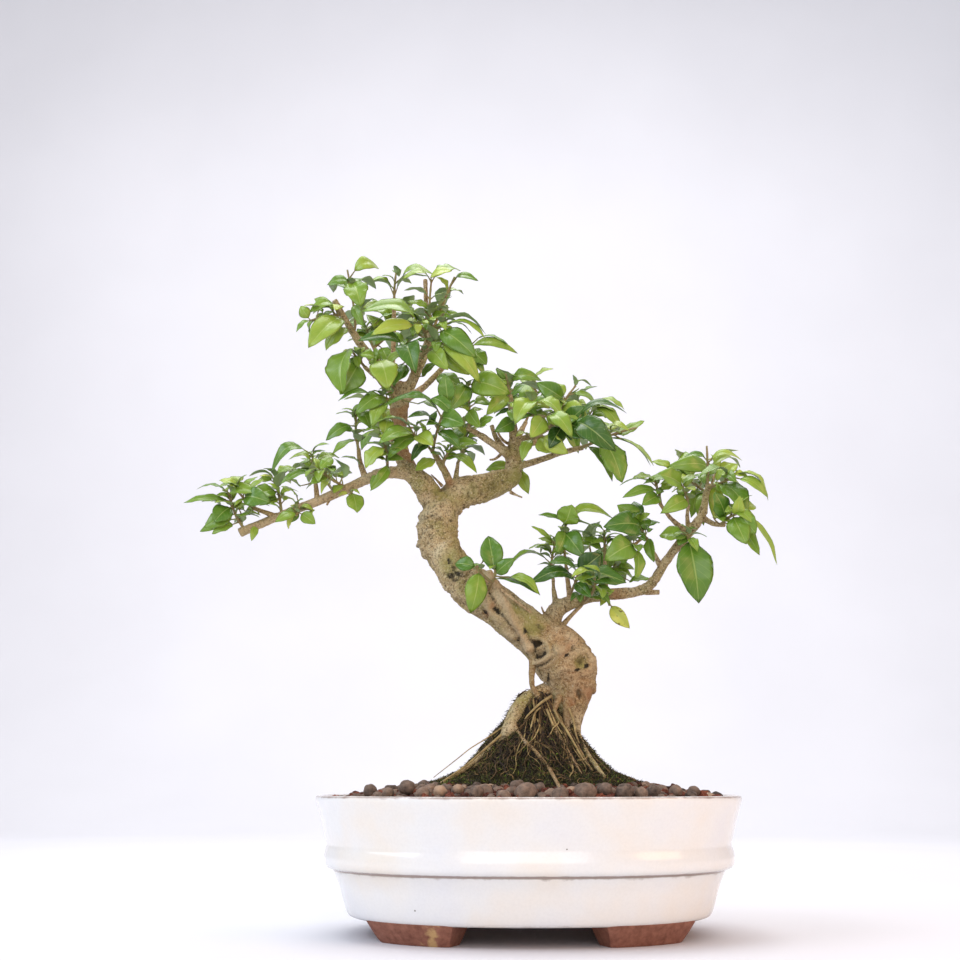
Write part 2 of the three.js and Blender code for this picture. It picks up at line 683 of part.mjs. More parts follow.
    leaves: [
      [7, 320, -6, 309, -18, -30, 14, 0.7, 0.14],
      [6, 320, 24, 312, -18, -24, 12, 0.5, 0.18],
      [14, 311, 30, 300, -21, -32, 12, 0.7, 0.16],
      [12, 311, 4, 298, -20, -30, 12, 0.9, 0.1],
      [-6, 309, -18, 302, -5, -12, 10, 0.8, 0.12],
    ],
  },
  {
    name: "right_top_crest", pairs: 1, size: 13,
    stems: [[[17, 303, -5], [22, 315, -9], [27, 324, -10], [33, 332, -11]]],
    leaves: [
      [26, 322, 8, 334, -10, -14, 12, 0.8, 0.2],
      [28, 325, 47, 319, -10, -8, 8, 0.5, 0.2],
      [24, 318, 40, 308, -9, -22, 14, 0.8, 0.12],
      [23, 316, 10, 324, -9, 4, 11, 0.3, 0.18],
    ],
  },
  {
    name: "right_top_dark", pairs: 0, size: 15,
    stems: [[[18, 303, -5], [25, 305, -14], [34, 308, -20]]],
    leaves: [
      [33, 308, 65, 316, -20, -22, 8, 0.4, 0.26],
      [27, 306, 46, 297, -16, -28, 16, 0.9, 0.1],
      [32, 307, 57, 290, -19, -30, 17, 0.8, 0.16],
      [24, 305, 16, 292, -14, -22, 11, 0.9, 0.1],
      [26, 305, 38, 318, -14, -22, 13, 0.9, 0.08],
    ],
  },
  {
    name: "right_top_end", pairs: 0, size: 14,
    stems: [[[35, 291, -4], [43, 294, -9], [49, 297, -12], [60, 301, -13], [71, 304, -14]]],
    leaves: [
      [48, 296, 61, 268, -12, -18, 17, 0.9, 0.14],
      [38, 292, 56, 271, -6, -10, 9, 0.6, 0.18],
      [50, 297, 81, 282, -12, -12, 7, 0.4, 0.12],
      [55, 299, 76, 310, -13, -12, 8, 0.5, -0.1],
      [46, 295, 62, 300, -10, 4, 11, 0.4, 0.2],
    ],
  },
  {
    name: "right_top_yellow", pairs: 0, size: 12,
    stems: [[[0, 297, 2], [6, 297, -8], [11, 299, -14]]],
    leaves: [
      [7, 298, 18, 288, -10, -14, 13, 1, 0.08],
      [11, 299, 27, 287, -14, -20, 11, 1, 0.1],
      [5, 297, -2, 284, -8, -16, 8, 0.9, 0.1],
      [3, 297, 20, 301, -5, 2, 9, 0.5, 0.2],
    ],
  },
  {
    name: "right_top_back_inner", pairs: 2, size: 19,
    stems: [[[0, 306, 25], [4, 316, 32], [8, 328, 36]], [[2, 311, 29], [-7, 316, 37], [-12, 325, 42]]],
    leaves: [],
  },
  {
    name: "right_top_back_outer", pairs: 2, size: 19,
    stems: [
      [[22, 299, 21], [32, 304, 27], [41, 312, 30]],
      [[28, 302, 25], [29, 309, 35], [32, 318, 40]],
    ],
    leaves: [],
  },
  {
    name: "right_limb", pairs: 0, size: 10,
    stems: [[[-9, 273, 15], [-6, 277, 20], [-4, 281, 23]]],
    leaves: [
      [-6, 277, 2, 262, 20, 15, 9, 1, 0.08],
      [-6, 277, -25, 277, 20, 22, 9, 0.8, 0.12],
    ],
  },
  {
    name: "left_end", pairs: 1, size: 14,
    stems: [
      [[-175, 238, -14], [-181, 248, -16], [-186, 262, -18]],
      [[-179, 243, -15], [-172, 253, -8], [-170, 264, -4]],
    ],
    leaves: [
      [-186, 261, -206, 266, -18, -20, 7, 0.4, 0.18],
      [-184, 256, -214, 256, -17, -22, 6, 0.5, 0.08],
      [-183, 253, -194, 243, -17, -24, 13, 1, 0.08],
      [-181, 248, -200, 240, -16, -22, 12, 0.9, 0.12],
      [-180, 245, -203, 237, -15, -10, 7, 0.7, 0.1],
      [-185, 259, -168, 262, -18, -26, 10, 0.6, 0.2],
    ],
  },
  {
    name: "left_end_top", pairs: 1, size: 15,
    stems: [[[-168, 251, -15], [-175, 257, -20], [-182, 265, -23]]],
    leaves: [
      [-176, 258, -160, 256, -20, -28, 13, 0.8, 0.14],
      [-180, 262, -192, 270, -22, -26, 9, 0.6, 0.16],
    ],
  },
  {
    name: "left_outer", pairs: 3, size: 15,
    stems: [[[-151, 249, -12], [-154, 259, -6], [-157, 269, -3]]],
    leaves: [[-155, 262, -172, 258, -5, -14, 12, 0.7, 0.16]],
  },
  {
    name: "left_arch", pairs: 1, size: 14,
    stems: [[[-132, 269, -12], [-133, 277, -12], [-134, 286, -12]]],
    leaves: [
      [-135, 286, -160, 275, -12, -16, 10, 0.5, 0.3],
      [-132, 273, -154, 267, -12, -18, 8, 0.6, 0.16],
      [-133, 280, -117, 286, -12, -8, 8, 0.6, 0.14],
    ],
  },
  {
    name: "left_inner", pairs: 3, size: 14,
    stems: [[[-112, 266, -12], [-121, 270, -19], [-130, 275, -23]]],
    leaves: [],
  },
  {
    name: "left_upright", pairs: 1, size: 14,
    stems: [[[-105, 288, -5], [-107, 302, -6], [-107, 319, -7]]],
    leaves: [
      [-108, 305, -126, 296, -6, -10, 9, 0.6, 0.2],
      [-106, 296, -122, 288, -6, -14, 8, 0.7, 0.1],
    ],
  },
  {
    name: "left_hanging_yellow", pairs: 0, size: 10,
    stems: [[[-108, 264, -12], [-109, 262, -15], [-110, 260, -17]]],
    leaves: [[-109, 263, -105, 249, -15, -19, 12, 1, 0.08]],
  },
  {
    name: "left_under", pairs: 0, size: 10,
    stems: [[[-140, 251, -13], [-142, 249, -17], [-143, 247, -19]]],
    leaves: [
      [-141, 249, -131, 242, -17, -20, 8, 1, 0.08],
      [-142, 248, -156, 243, -18, -26, 8, 0.6, 0.14],
    ],
  },
  {
    name: "left_back", pairs: 3, size: 16,
    stems: [[[-119, 264, -8], [-126, 270, 6], [-134, 278, 14]]],
    leaves: [],
  },
  {
    name: "trunk_shoot", pairs: 0, size: 12,
    stems: [
      [[-23, 202, -18], [-20, 207, -22], [-19, 213, -25]],
      [[-21, 205, -20], [-27, 210, -23], [-31, 215, -24]],
    ],
    leaves: [
      [-19, 210, -23, 235, -24, -22, 14, 0.9, 0.06],
      [-20, 207, 7, 200, -22, -28, 8, 0.7, 0.1],
      [-19, 209, -8, 220, -23, -30, 9, 0.8, 0.1],
      [-29, 213, -33, 187, -24, -28, 14, 1, 0.08],
      [-29, 214, -44, 217, -24, -22, 10, 0.8, 0.1],
      [-30, 214, -14, 221, -24, -14, 6, 0.3, 0.3],
    ],
  },
  {
    name: "lower_first", pairs: 1, size: 12,
    stems: [[[17, 206, 1], [16, 217, -1], [18, 229, -3]]],
    leaves: [
      [16, 216, -14, 210, -1, -6, 9, 0.4, 0.28],
      [18, 229, 4, 241, -3, -6, 4, 0.6, 0.06],
      [17, 222, 2, 227, -2, -12, 8, 0.4, 0.18],
      [16, 214, 30, 219, -1, 8, 9, 0.4, 0.18],
    ],
  },
  {
    name: "lower_tall", pairs: 0, size: 14,
    stems: [[[25, 212, -2], [24, 227, -4], [25, 244, -6]]],
    leaves: [
      [25, 243, 8, 248, -6, -8, 5, 0.4, 0.06],
      [24, 240, 29, 254, -6, -14, 15, 1, 0.08],
      [25, 240, 55, 246, -5, -8, 11, 0.6, 0.22],
      [24, 238, 20, 224, -5, -14, 11, 0.9, 0.1],
      [24, 236, 35, 222, -5, -16, 14, 1, 0.1],
      [24, 228, 45, 232, -4, 6, 9, 0.5, 0.18],
      [24, 226, 8, 225, -4, 8, 9, 0.4, 0.18],
    ],
  },
  {
    name: "lower_dark", pairs: 0, size: 14,
    stems: [[[30, 197, -3], [30, 204, -11], [32, 210, -16]]],
    leaves: [
      [30, 208, 2, 204, -14, -20, 11, 0.55, 0.16],
      [32, 210, 62, 205, -16, -22, 16, 0.7, 0.14],
      [31, 210, 47, 223, -16, -20, 15, 1, 0.1],
      [30, 205, 40, 196, -12, -22, 8, 0.9, 0.1],
      [32, 210, 14, 218, -16, -22, 9, 0.6, 0.16],
    ],
  },
  {
    name: "lower_slim", pairs: 1, size: 12,
    stems: [[[49, 218, 2], [49, 228, 1], [49, 238, 0]]],
    leaves: [
      [49, 237, 42, 242, 0, -2, 3, 0.6, 0.1],
      [49, 237, 56, 241, 0, -2, 3, 0.6, 0.1],
      [49, 223, 29, 231, 1, 6, 10, 0.6, 0.18],
    ],
  },
  {
    name: "lower_big", pairs: 0, size: 15,
    stems: [
      [[76, 231, -3], [72, 238, -6], [69, 243, -8]],
      [[74, 234, -4], [68, 229, -10], [64, 226, -14]],
    ],
    leaves: [
      [71, 239, 58, 254, -7, -14, 14, 0.9, 0.1],
      [72, 238, 50, 241, -6, -20, 17, 0.8, 0.14],
      [71, 241, 68, 257, -7, -4, 9, 0.9, 0.1],
      [73, 237, 84, 243, -5, 4, 6, 0.7, 0.12],
      [67, 228, 50, 220, -11, -22, 17, 0.7, 0.14],
      [66, 227, 68, 207, -12, -20, 9, 0.8, 0.1],
    ],
  },
  {
    name: "lower_spotted", pairs: 0, size: 10,
    stems: [[[50, 193, -3], [51, 192, -7], [51, 191, -9]]],
    leaves: [
      [51, 192, 63, 177, -7, -10, 9, 1, 0.1],
      [50, 193, 37, 200, -6, -14, 8, 0.6, 0.2],
    ],
  },
  {
    name: "lower_back", pairs: 2, size: 18,
    stems: [
      [[44, 199, 5], [42, 212, 18], [40, 226, 26]],
      [[43, 206, 12], [56, 214, 18], [64, 222, 22]],
    ],
    leaves: [],
  },
  {
    name: "lower_front", pairs: 3, size: 15,
    stems: [[[40, 193, -3], [41, 199, -16], [43, 206, -24]]],
    leaves: [],
  },
  {
    name: "pad_hanging", pairs: 0, size: 12,
    stems: [[[101, 234, -7], [101, 233, -11], [101, 232, -13]]],
    leaves: [
      [101, 233, 107, 193, -11, -15, 23, 1, 0.06],
      [100, 233, 83, 235, -11, -8, 13, 0.8, 0.1],
    ],
  },
  {
    name: "pad_left", pairs: 1, size: 13,
    stems: [[[85, 254, -7], [84, 260, -9], [82, 267, -10]]],
    leaves: [
      [84, 259, 73, 254, -9, -18, 10, 0.8, 0.12],
      [83, 263, 61, 259, -10, -16, 7, 0.5, 0.12],
      [83, 265, 59, 268, -10, -6, 7, 0.5, 0.14],
      [82, 267, 68, 272, -10, -18, 8, 0.7, 0.16],
    ],
  },
  {
    name: "pad_middle", pairs: 1, size: 14,
    stems: [[[102, 252, -7], [101, 260, -9], [98, 267, -12]]],
    leaves: [
      [101, 257, 86, 250, -8, -18, 11, 0.8, 0.12],
      [99, 264, 84, 274, -11, -22, 15, 0.9, 0.12],
      [98, 267, 74, 268, -12, -14, 9, 0.6, 0.16],
    ],
  },
  {
    name: "pad_crest", pairs: 1, size: 13,
    stems: [[[114, 266, -5], [115, 278, -6], [115, 292, -6]]],
    leaves: [
      [115, 282, 101, 286, -6, -8, 6, 0.6, 0.2],
      [115, 280, 137, 284, -6, -8, 7, 0.4, 0.3],
      [115, 277, 91, 279, -6, -18, 11, 0.7, 0.14],
      [115, 275, 136, 279, -6, 4, 8, 0.4, 0.2],
    ],
  },
  {
    name: "pad_right", pairs: 0, size: 13,
    stems: [[[116, 264, -6], [123, 268, -13], [130, 272, -17]]],
    leaves: [
      [129, 272, 153, 258, -17, -20, 9, 0.5, 0.26],
      [121, 267, 139, 250, -11, -24, 16, 0.8, 0.14],
      [128, 271, 110, 274, -16, -26, 9, 0.5, 0.2],
      [124, 269, 138, 264, -14, -8, 7, 0.5, 0.14],
    ],
  },
  {
    name: "pad_drooping", pairs: 0, size: 15,
    stems: [[[121, 241, -12], [127, 246, -18], [134, 249, -22]]],
    leaves: [
      [124, 244, 119, 262, -15, -24, 13, 1, 0.1],
      [129, 247, 137, 230, -20, -30, 14, 1, 0.1],
      [134, 249, 143, 236, -22, -28, 12, 1, 0.12],
      [123, 242, 146, 224, -14, -20, 13, 0.5, 0.12],
      [134, 249, 156, 216, -22, -22, 8, 0.5, 0.08],
    ],
  },
  {
    name: "pad_back", pairs: 2, size: 18,
    stems: [
      [[113, 257, 1], [117, 267, 11], [120, 276, 18]],
      [[115, 261, 5], [105, 268, 15], [98, 275, 21]],
    ],
    leaves: [],
  },
];

// A leaf: a thin arched blade, folded a little along its midrib, on a short stalk that starts in the stem.
// Its outline is given as [share of the length, share of the width].
const outlineLong = [[0.27, 0.74], [0.5, 1], [0.76, 0.66]];
const outlineShort = [[0.3, 0.86], [0.68, 0.82]];
const longLeaf = 19; // leaves longer than this get the finer outline
const stalkedLeaf = 30; // and these a stalk of their own
const upwards = new THREE.Vector3(0, 0, 1);
const frontwards = new THREE.Vector3(0, -1, 0);

function leafFrame(leaf) {
  const chord = leaf.tip.clone().sub(leaf.base);
  const length = chord.length();
  const ahead = chord.normalize();
  const face = upwards.clone().multiplyScalar(1 - leaf.face).addScaledVector(frontwards, leaf.face);
  face.addScaledVector(ahead, -face.dot(ahead)).normalize();
  return { length, ahead, face, side: new THREE.Vector3().crossVectors(ahead, face) };
}

// Centre of the blade at a share of its length.
function leafPoint(leaf, frame, share) {
  return leaf.base
    .clone()
    .addScaledVector(frame.ahead, frame.length * share)
    .addScaledVector(frame.face, frame.length * leaf.arch * Math.sin(Math.PI * share ** 0.85));
}

function leafSolid(leaf, grow) {
  const frame = leafFrame(leaf);
  const outline = frame.length > longLeaf ? outlineLong : outlineShort;
  const stalk = frame.length > stalkedLeaf ? [[0.1, petioleWidth / leaf.width]] : [];
  const rings = [...stalk, ...outline].map(([share, width]) => {
    const fold = leaf.width * width * 0.09;
    const half = (leaf.width * width) / 2 + grow;
    const centre = leafPoint(leaf, frame, share).addScaledVector(frame.face, fold);
    const corner = (sideways, up) =>
      centre.clone().addScaledVector(frame.side, sideways).addScaledVector(frame.face, up);
    const keel = corner(0, -leafThickness - 1.4 * grow);
    if (grow === 0) return [corner(-half, 0), corner(half, 0), keel];
    return [corner(-half, grow), corner(half, grow), corner(half, -grow), keel, corner(-half, -grow)];
  });
  const corners = rings[0].length;
  const beyond = (end, ring) => {
    const middle = ring[0].clone().add(ring[1]).multiplyScalar(0.5);
    return end.clone().addScaledVector(end.clone().sub(middle).normalize(), 5 * grow);
  };
  const root = beyond(leaf.root, rings[0]);
  const tip = beyond(leafPoint(leaf, frame, 1), rings[rings.length - 1]);
  const vertices = [root, ...rings.flat(), tip];
  const triangles = [];
  for (let r = 0; r < rings.length - 1; r++) {
    for (let i = 0; i < corners; i++) {
      const a = 1 + r * corners + i;
      const b = 1 + r * corners + ((i + 1) % corners);
      if (i < corners - 1) triangles.push([a, b, b + corners], [a, b + corners, a + corners]);
      else triangles.push([a, b, a + corners], [b, b + corners, a + corners]);
    }
  }
  const end = vertices.length - 1;
  for (let i = 0; i < corners; i++) {
    const j = (i + 1) % corners;
    triangles.push([0, 1 + j, 1 + i], [end, end - corners + i, end - corners + j]);
  }
  return solidFrom(vertices, triangles);
}

// Points over a blade, by which leaves keep clear of each other.
function leafSamples(leaf) {
  const frame = leafFrame(leaf);
  const points = [];
  for (const share of [0.3, 0.5, 0.7, 0.95]) points.push(leafPoint(leaf, frame, share));
  for (const sign of [-1, 1]) {
    points.push(leafPoint(leaf, frame, 0.45).addScaledVector(frame.side, sign * leaf.width * 0.36));
  }
  return points;
}

const leafGap = 3.4; // least distance between the sample points of two leaves
const tooNear = (points, taken) =>
  points.some((p) => taken.some((q) => p.distanceToSquared(q) < leafGap * leafGap));

// The nearest point to p on some lines: where a leaf's stalk starts in a stem, or a stem in the wood.
const lineSamples = 24;

function nearestPoint(lines, p) {
  let best = null;
  for (const line of lines) {
    for (let k = 0; k <= lineSamples; k++) {
      const q = along(line, k / lineSamples);
      if (!best || q.distanceToSquared(p) < best.distanceToSquared(p)) best = q;
    }
  }
  return best;
}

function placeLeaves() {
  const taken = [];
  const woodLines = [trunk.map(([x, z, depth]) => seen(x, z, depth))];
  for (const path of limbs) woodLines.push(path.map(([x, z, depth]) => seen(x, z, depth * crownDepth)));
  const grown = shoots.map((shoot) => {
    const stems = shoot.stems.map((stem) => stem.map(([x, z, depth]) => seen(x, z, depth * crownDepth)));
    stems[0][0] = nearestPoint(woodLines, stems[0][0]);
    const leaves = shoot.leaves.map(([x0, z0, x1, z1, d0, d1, width, face, arch]) => {
      const base = seen(x0, z0, d0 * crownDepth);
      return { base, tip: seen(x1, z1, d1 * crownDepth), width, face, arch, root: nearestPoint(stems, base) };
    });
    for (const leaf of leaves) taken.push(...leafSamples(leaf));
    return { shoot, stems, leaves };
  });
  grown.forEach(({ shoot, stems, leaves }, index) => {
    const random = randomFrom(1000 + 37 * index);
    for (const stem of stems) {
      for (let pair = 0; pair < shoot.pairs; pair++) {
        const t = shoot.pairs === 1 ? 0.6 : 0.3 + (0.66 * pair) / (shoot.pairs - 1);
        const root = along(stem, t);
        const tangent = along(stem, Math.min(t + 0.05, 1)).sub(along(stem, t - 0.05)).normalize();
        const across = new THREE.Vector3().crossVectors(tangent, frontwards).normalize();
        const other = new THREE.Vector3().crossVectors(tangent, across);
        const turn = (pair % 2) * (Math.PI / 2) + random() * 0.7;
        for (const sign of [-1, 1]) {
          const opening = 0.95 + random() * 0.3;
          const length = shoot.size * (0.8 + random() * 0.45);
          const width = length * (0.48 + random() * 0.1);
          const lift = random() * 0.25;
          const arch = 0.1 + random() * 0.14;
          const face = 0.12 + random() * 0.3;
          for (let attempt = 0; attempt < 7; attempt++) {
            const swing = turn + (attempt % 2 ? 1 : -1) * Math.ceil(attempt / 2) * 0.35;
            const ahead = tangent
              .clone()
              .multiplyScalar(Math.cos(opening))
              .addScaledVector(across, sign * Math.sin(opening) * Math.cos(swing))
              .addScaledVector(other, sign * Math.sin(opening) * Math.sin(swing));
            ahead.z = ahead.z * 0.6 + lift;
            ahead.normalize();
            const size = length * (1 - 0.05 * attempt);
            const tip = root.clone().addScaledVector(ahead, size);
            const leaf = { root, base: root, tip, width, face, arch };
            const samples = leafSamples(leaf);
            if (tooNear(samples, taken)) continue;
            taken.push(...samples);
            leaves.push(leaf);
            break;
          }
        }
      }
    }
  });
  return grown;
}

// Assembly
const colours = {
  glaze: { color: 0xefeae4, roughness: 0.25 },
  soil: { color: 0x4a3526, roughness: 0.95 },
  plastic: { color: 0x2b2b2b, roughness: 0.6 },
  bark: { color: 0xa38b66, roughness: 0.85 },
  leaf: { color: 0x5d8c2c, roughness: 0.5 },
};

const bonsai = new THREE.Group();

function addMesh(name, geometry, finish) {
  const mesh = new THREE.Mesh(geometry, new THREE.MeshStandardMaterial({ ...finish, metalness: 0 }));
  mesh.name = name;
  bonsai.add(mesh);
  return mesh;
}

function geometryOf(solid) {
  const { vertProperties, triVerts } = solid.getMesh();
  const geometry = new THREE.BufferGeometry();
  geometry.setAttribute("position", new THREE.BufferAttribute(vertProperties, 3));
  geometry.setIndex(new THREE.BufferAttribute(triVerts, 1));
  geometry.computeVertexNormals();
  return geometry;
}

const fatWood = woodSolid(1.5 * clearance);
const soil = makeSoil(fatWood);
const pot = makePot();
addMesh("pot", geometryOf(pot), colours.glaze);
addMesh("soil", geometryOf(soil), colours.soil);
for (const [name, x] of [["drain_screen_left", -drainX], ["drain_screen_right", drainX]]) {
  const screen = addMesh(name, geometryOf(makeScreen()), colours.plastic);
  screen.position.set(x, 0, potFloor + clearance);
}
addMesh("tree", geometryOf(largestPiece(woodSolid(0))), colours.bark);

const sprays = placeLeaves();
let occupied = fatWood;
for (const { shoot, stems, leaves } of sprays) {
  const build = (grow) => {
    const solids = stems.map((stem) =>
      rod(stem.map((p, i) => [p, 1.15 - (0.4 * i) / (stem.length - 1)]), { sides: 3, grow }),
    );
    return joined([...solids, ...leaves.map((leaf) => leafSolid(leaf, grow))]);
  };
  const spray = largestPiece(build(0).subtract(occupied));
  occupied = occupied.add(build(1.5 * clearance));
  addMesh("shoot_" + shoot.name, geometryOf(spray), colours.leaf);
}

bonsai.updateMatrixWorld(true);
const box = new THREE.Box3().setFromObject(bonsai);
const middle = box.getCenter(new THREE.Vector3());
bonsai.position.set(-middle.x, -middle.y, -box.min.z);

export default bonsai;
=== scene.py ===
import math
import bmesh
import bpy
import numpy as np
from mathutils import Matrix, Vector, kdtree, noise


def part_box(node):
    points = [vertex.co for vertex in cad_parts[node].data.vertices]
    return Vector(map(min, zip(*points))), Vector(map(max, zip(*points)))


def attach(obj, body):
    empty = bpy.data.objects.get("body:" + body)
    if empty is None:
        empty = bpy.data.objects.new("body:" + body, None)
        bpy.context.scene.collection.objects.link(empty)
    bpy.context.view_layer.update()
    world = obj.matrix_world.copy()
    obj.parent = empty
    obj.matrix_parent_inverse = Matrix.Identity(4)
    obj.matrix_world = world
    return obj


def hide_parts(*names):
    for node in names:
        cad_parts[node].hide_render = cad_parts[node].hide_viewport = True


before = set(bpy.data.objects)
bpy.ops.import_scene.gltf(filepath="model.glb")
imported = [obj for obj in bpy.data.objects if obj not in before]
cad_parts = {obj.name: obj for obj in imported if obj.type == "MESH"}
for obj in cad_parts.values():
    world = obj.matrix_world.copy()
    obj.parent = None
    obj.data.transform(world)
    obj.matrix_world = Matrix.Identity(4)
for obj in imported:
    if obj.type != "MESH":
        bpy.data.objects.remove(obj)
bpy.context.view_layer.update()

potLow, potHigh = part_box("pot")
potMiddle = np.array([(potLow.x + potHigh.x) / 2, (potLow.y + potHigh.y) / 2, 0.0])


def linear(hexColour):  # sRGB hex to the linear colour that the shaders take
    values = [int(hexColour[i:i + 2], 16) / 255 for i in (1, 3, 5)]
    return tuple(v / 12.92 if v <= 0.04045 else ((v + 0.055) / 1.055) ** 2.4 for v in values) + (1.0,)


def feed(tree, node, links):  # links a node's inputs to an output, or to the first output of another node
    for key, source in links.items():
        tree.links.new(getattr(source, "outputs", [source])[0], node.inputs[key])


def addNode(tree, kind, settings=None, links=None):  # one node with its settings and what feeds it
    node = tree.nodes.new(kind)
    for key, value in (settings or {}).items():
        if key == "stops":
            for i, (place, colour) in enumerate(value):
                stop = node.color_ramp.elements[i] if i < 2 else node.color_ramp.elements.new(place)
                stop.position = place
                stop.color = linear(colour) if isinstance(colour, str) else (colour, colour, colour, 1)
        elif isinstance(key, int) or key in node.inputs:
            node.inputs[key].default_value = linear(value) if isinstance(value, str) else value
        else:
            setattr(node, key, value)
    feed(tree, node, links or {})
    return node


def newMaterial(name, surface):  # a material with one main shader, its plain numbers set on the shader's sockets
    material = bpy.data.materials.new(name)
    material.use_nodes = True
    tree = material.node_tree
    tree.nodes.clear()
    shader = addNode(tree, "ShaderNodeBsdfPrincipled", surface)
    addNode(tree, "ShaderNodeOutputMaterial", None, {"Surface": shader})
    return material, tree, shader


def makePiece(name, points, faces, materials, replaced, faceSlots=None, uv=None, tint=None, smooth=True):
    mesh = bpy.data.meshes.new(name)
    mesh.from_pydata((np.asarray(points, float) * 0.001 + potMiddle).tolist(), [], faces)
    for material in materials:
        mesh.materials.append(material)
    if faceSlots is not None:
        mesh.polygons.foreach_set("material_index", np.asarray(faceSlots, np.int32))
    mesh.polygons.foreach_set("use_smooth", np.full(len(mesh.polygons), smooth))
    if uv is not None:
        corners = np.zeros(len(mesh.loops), np.int32)
        mesh.loops.foreach_get("vertex_index", corners)
        layer = mesh.uv_layers.new(name="surface")
        layer.data.foreach_set("uv", np.asarray(uv, np.float32)[corners].ravel())
    if tint is not None:
        layer = mesh.attributes.new("tint", "FLOAT_COLOR", "POINT")
        layer.data.foreach_set("color", np.asarray(tint, np.float32).ravel())
    mesh.update()
    piece = bpy.data.objects.new(name, mesh)
    bpy.context.scene.collection.objects.link(piece)
    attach(piece, "root")
    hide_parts(*replaced)
    return piece


class Heap:  # vertices and faces of many small shapes, gathered for one mesh
    def __init__(self):
        self.points, self.faces, self.faceSlots, self.uv, self.tint = [], [], [], [], []
        self.count = 0

    def add(self, points, faces, tint=(0, 0, 0, 1), faceSlot=0, uv=None):
        points = np.asarray(points, float)
        self.points.append(points)
        self.faces.extend([tuple(i + self.count for i in face) for face in faces])
        self.faceSlots.extend(faceSlot if isinstance(faceSlot, list) else [faceSlot] * len(faces))
        self.uv.append(np.zeros((len(points), 2)) if uv is None else np.asarray(uv, float))
        tints = np.asarray(tint, float)
        self.tint.append(np.tile(tints, (len(points), 1)) if tints.ndim == 1 else tints)
        self.count += len(points)

    def piece(self, name, materials, slot, replaced, smooth=True):
        mixed = len(materials) > 1
        makePiece(name, np.vstack(self.points), self.faces, materials, [replaced],
                  self.faceSlots if mixed else None, np.vstack(self.uv) if mixed else None,
                  np.vstack(self.tint), smooth)


def randomFrom(seed):  # the same sequence that places the solid leaves
    state = [seed & 0xFFFFFFFF]

    def draw():
        state[0] = (state[0] + 0x6D2B79F5) & 0xFFFFFFFF
        t = state[0]
        t = ((t ^ (t >> 15)) * (t | 1)) & 0xFFFFFFFF
        t ^= (t + ((t ^ (t >> 7)) * (t | 61))) & 0xFFFFFFFF
        return ((t ^ (t >> 14)) & 0xFFFFFFFF) / 4294967296

    return draw


eye = np.array([-28.0, -775.0, 87.0])  # where the front view is taken from


def seen(x, z, depth):  # the point at a depth that the eye sees at x and z of the plane through the pot's middle
    reach = (depth - eye[1]) / -eye[1]
    return np.array([eye[0] + (x - eye[0]) * reach, depth, eye[2] + (z - eye[2]) * reach])


def along(points, t):  # a smooth curve through points, t from 0 to 1
    last = len(points) - 1
    place = min(max(t, 0), 1) * last
    i = min(int(place), last - 1)
    u = place - i
    a, b, c, d = (points[min(max(k, 0), last)] for k in (i - 1, i, i + 1, i + 2))
    return 0.5 * (2 * b + (c - a) * u + (2 * a - 5 * b + 4 * c - d) * u * u + (3 * b - a - 3 * c + d) * u * u * u)


def unit(v):
    return v / math.sqrt(float(v @ v))


def tubeShape(path, sides, spacing, lumps=None):  # rings round a smooth path of (point, radius), closed at both ends
    points = [p for p, r in path]
    radii = [np.array([r]) for p, r in path]
    length = sum(float(np.linalg.norm(b - a)) for a, b in zip(points, points[1:]))
    total = max(3, int(round(length / spacing)))
    side = np.array([0.31, 0.9, 0.17])
    rings, centres = [], []
    angles = 2 * math.pi * np.arange(sides) / sides
    for k in range(total + 1):
        t = k / total
        centre = along(points, t)
        tangent = unit(along(points, min(t + 0.01, 1)) - along(points, max(t - 0.01, 0)))
        side = unit(side - tangent * float(side @ tangent))
        other = np.cross(tangent, side)
        radius = float(along(radii, t)[0]) * (lumps(t) if lumps else 1)
        rings.append(centre + radius * (np.outer(np.cos(angles), side) + np.outer(np.sin(angles), other)))
        centres.append((centre, tangent, radius))
    first = (total + 1) * sides
    faces = []
    for k in range(total):
        for i in range(sides):
            j = (i + 1) % sides
            faces.append((k * sides + i, k * sides + j, (k + 1) * sides + j, (k + 1) * sides + i))
    for i in range(sides):
        j = (i + 1) % sides
        faces.append((first, j, i))
        faces.append((first + 1, total * sides + i, total * sides + j))
    return np.vstack(rings + [centres[0][0], centres[-1][0]]), faces, centres


# Camera: level with the pot's rim and looking up a little, as the photograph was taken
cameraView = {
    "place": (-28.3, -775.5, 87.3),
    "tilt": 13.25,  # degrees above the horizon
    "lens": 47.57,  # on a 36 mm wide sensor
}
cameraData = bpy.data.cameras.new("frontCamera")
cameraData.lens = cameraView["lens"]
cameraData.sensor_width = 36.0
cameraData.clip_start = 0.01
camera = bpy.data.objects.new("frontCamera", cameraData)
camera.location = np.array(cameraView["place"]) * 0.001 + potMiddle
camera.rotation_euler = (math.radians(90 + cameraView["tilt"]), 0, 0)
bpy.context.scene.collection.objects.link(camera)
bpy.context.scene.camera = camera
print("camera set")


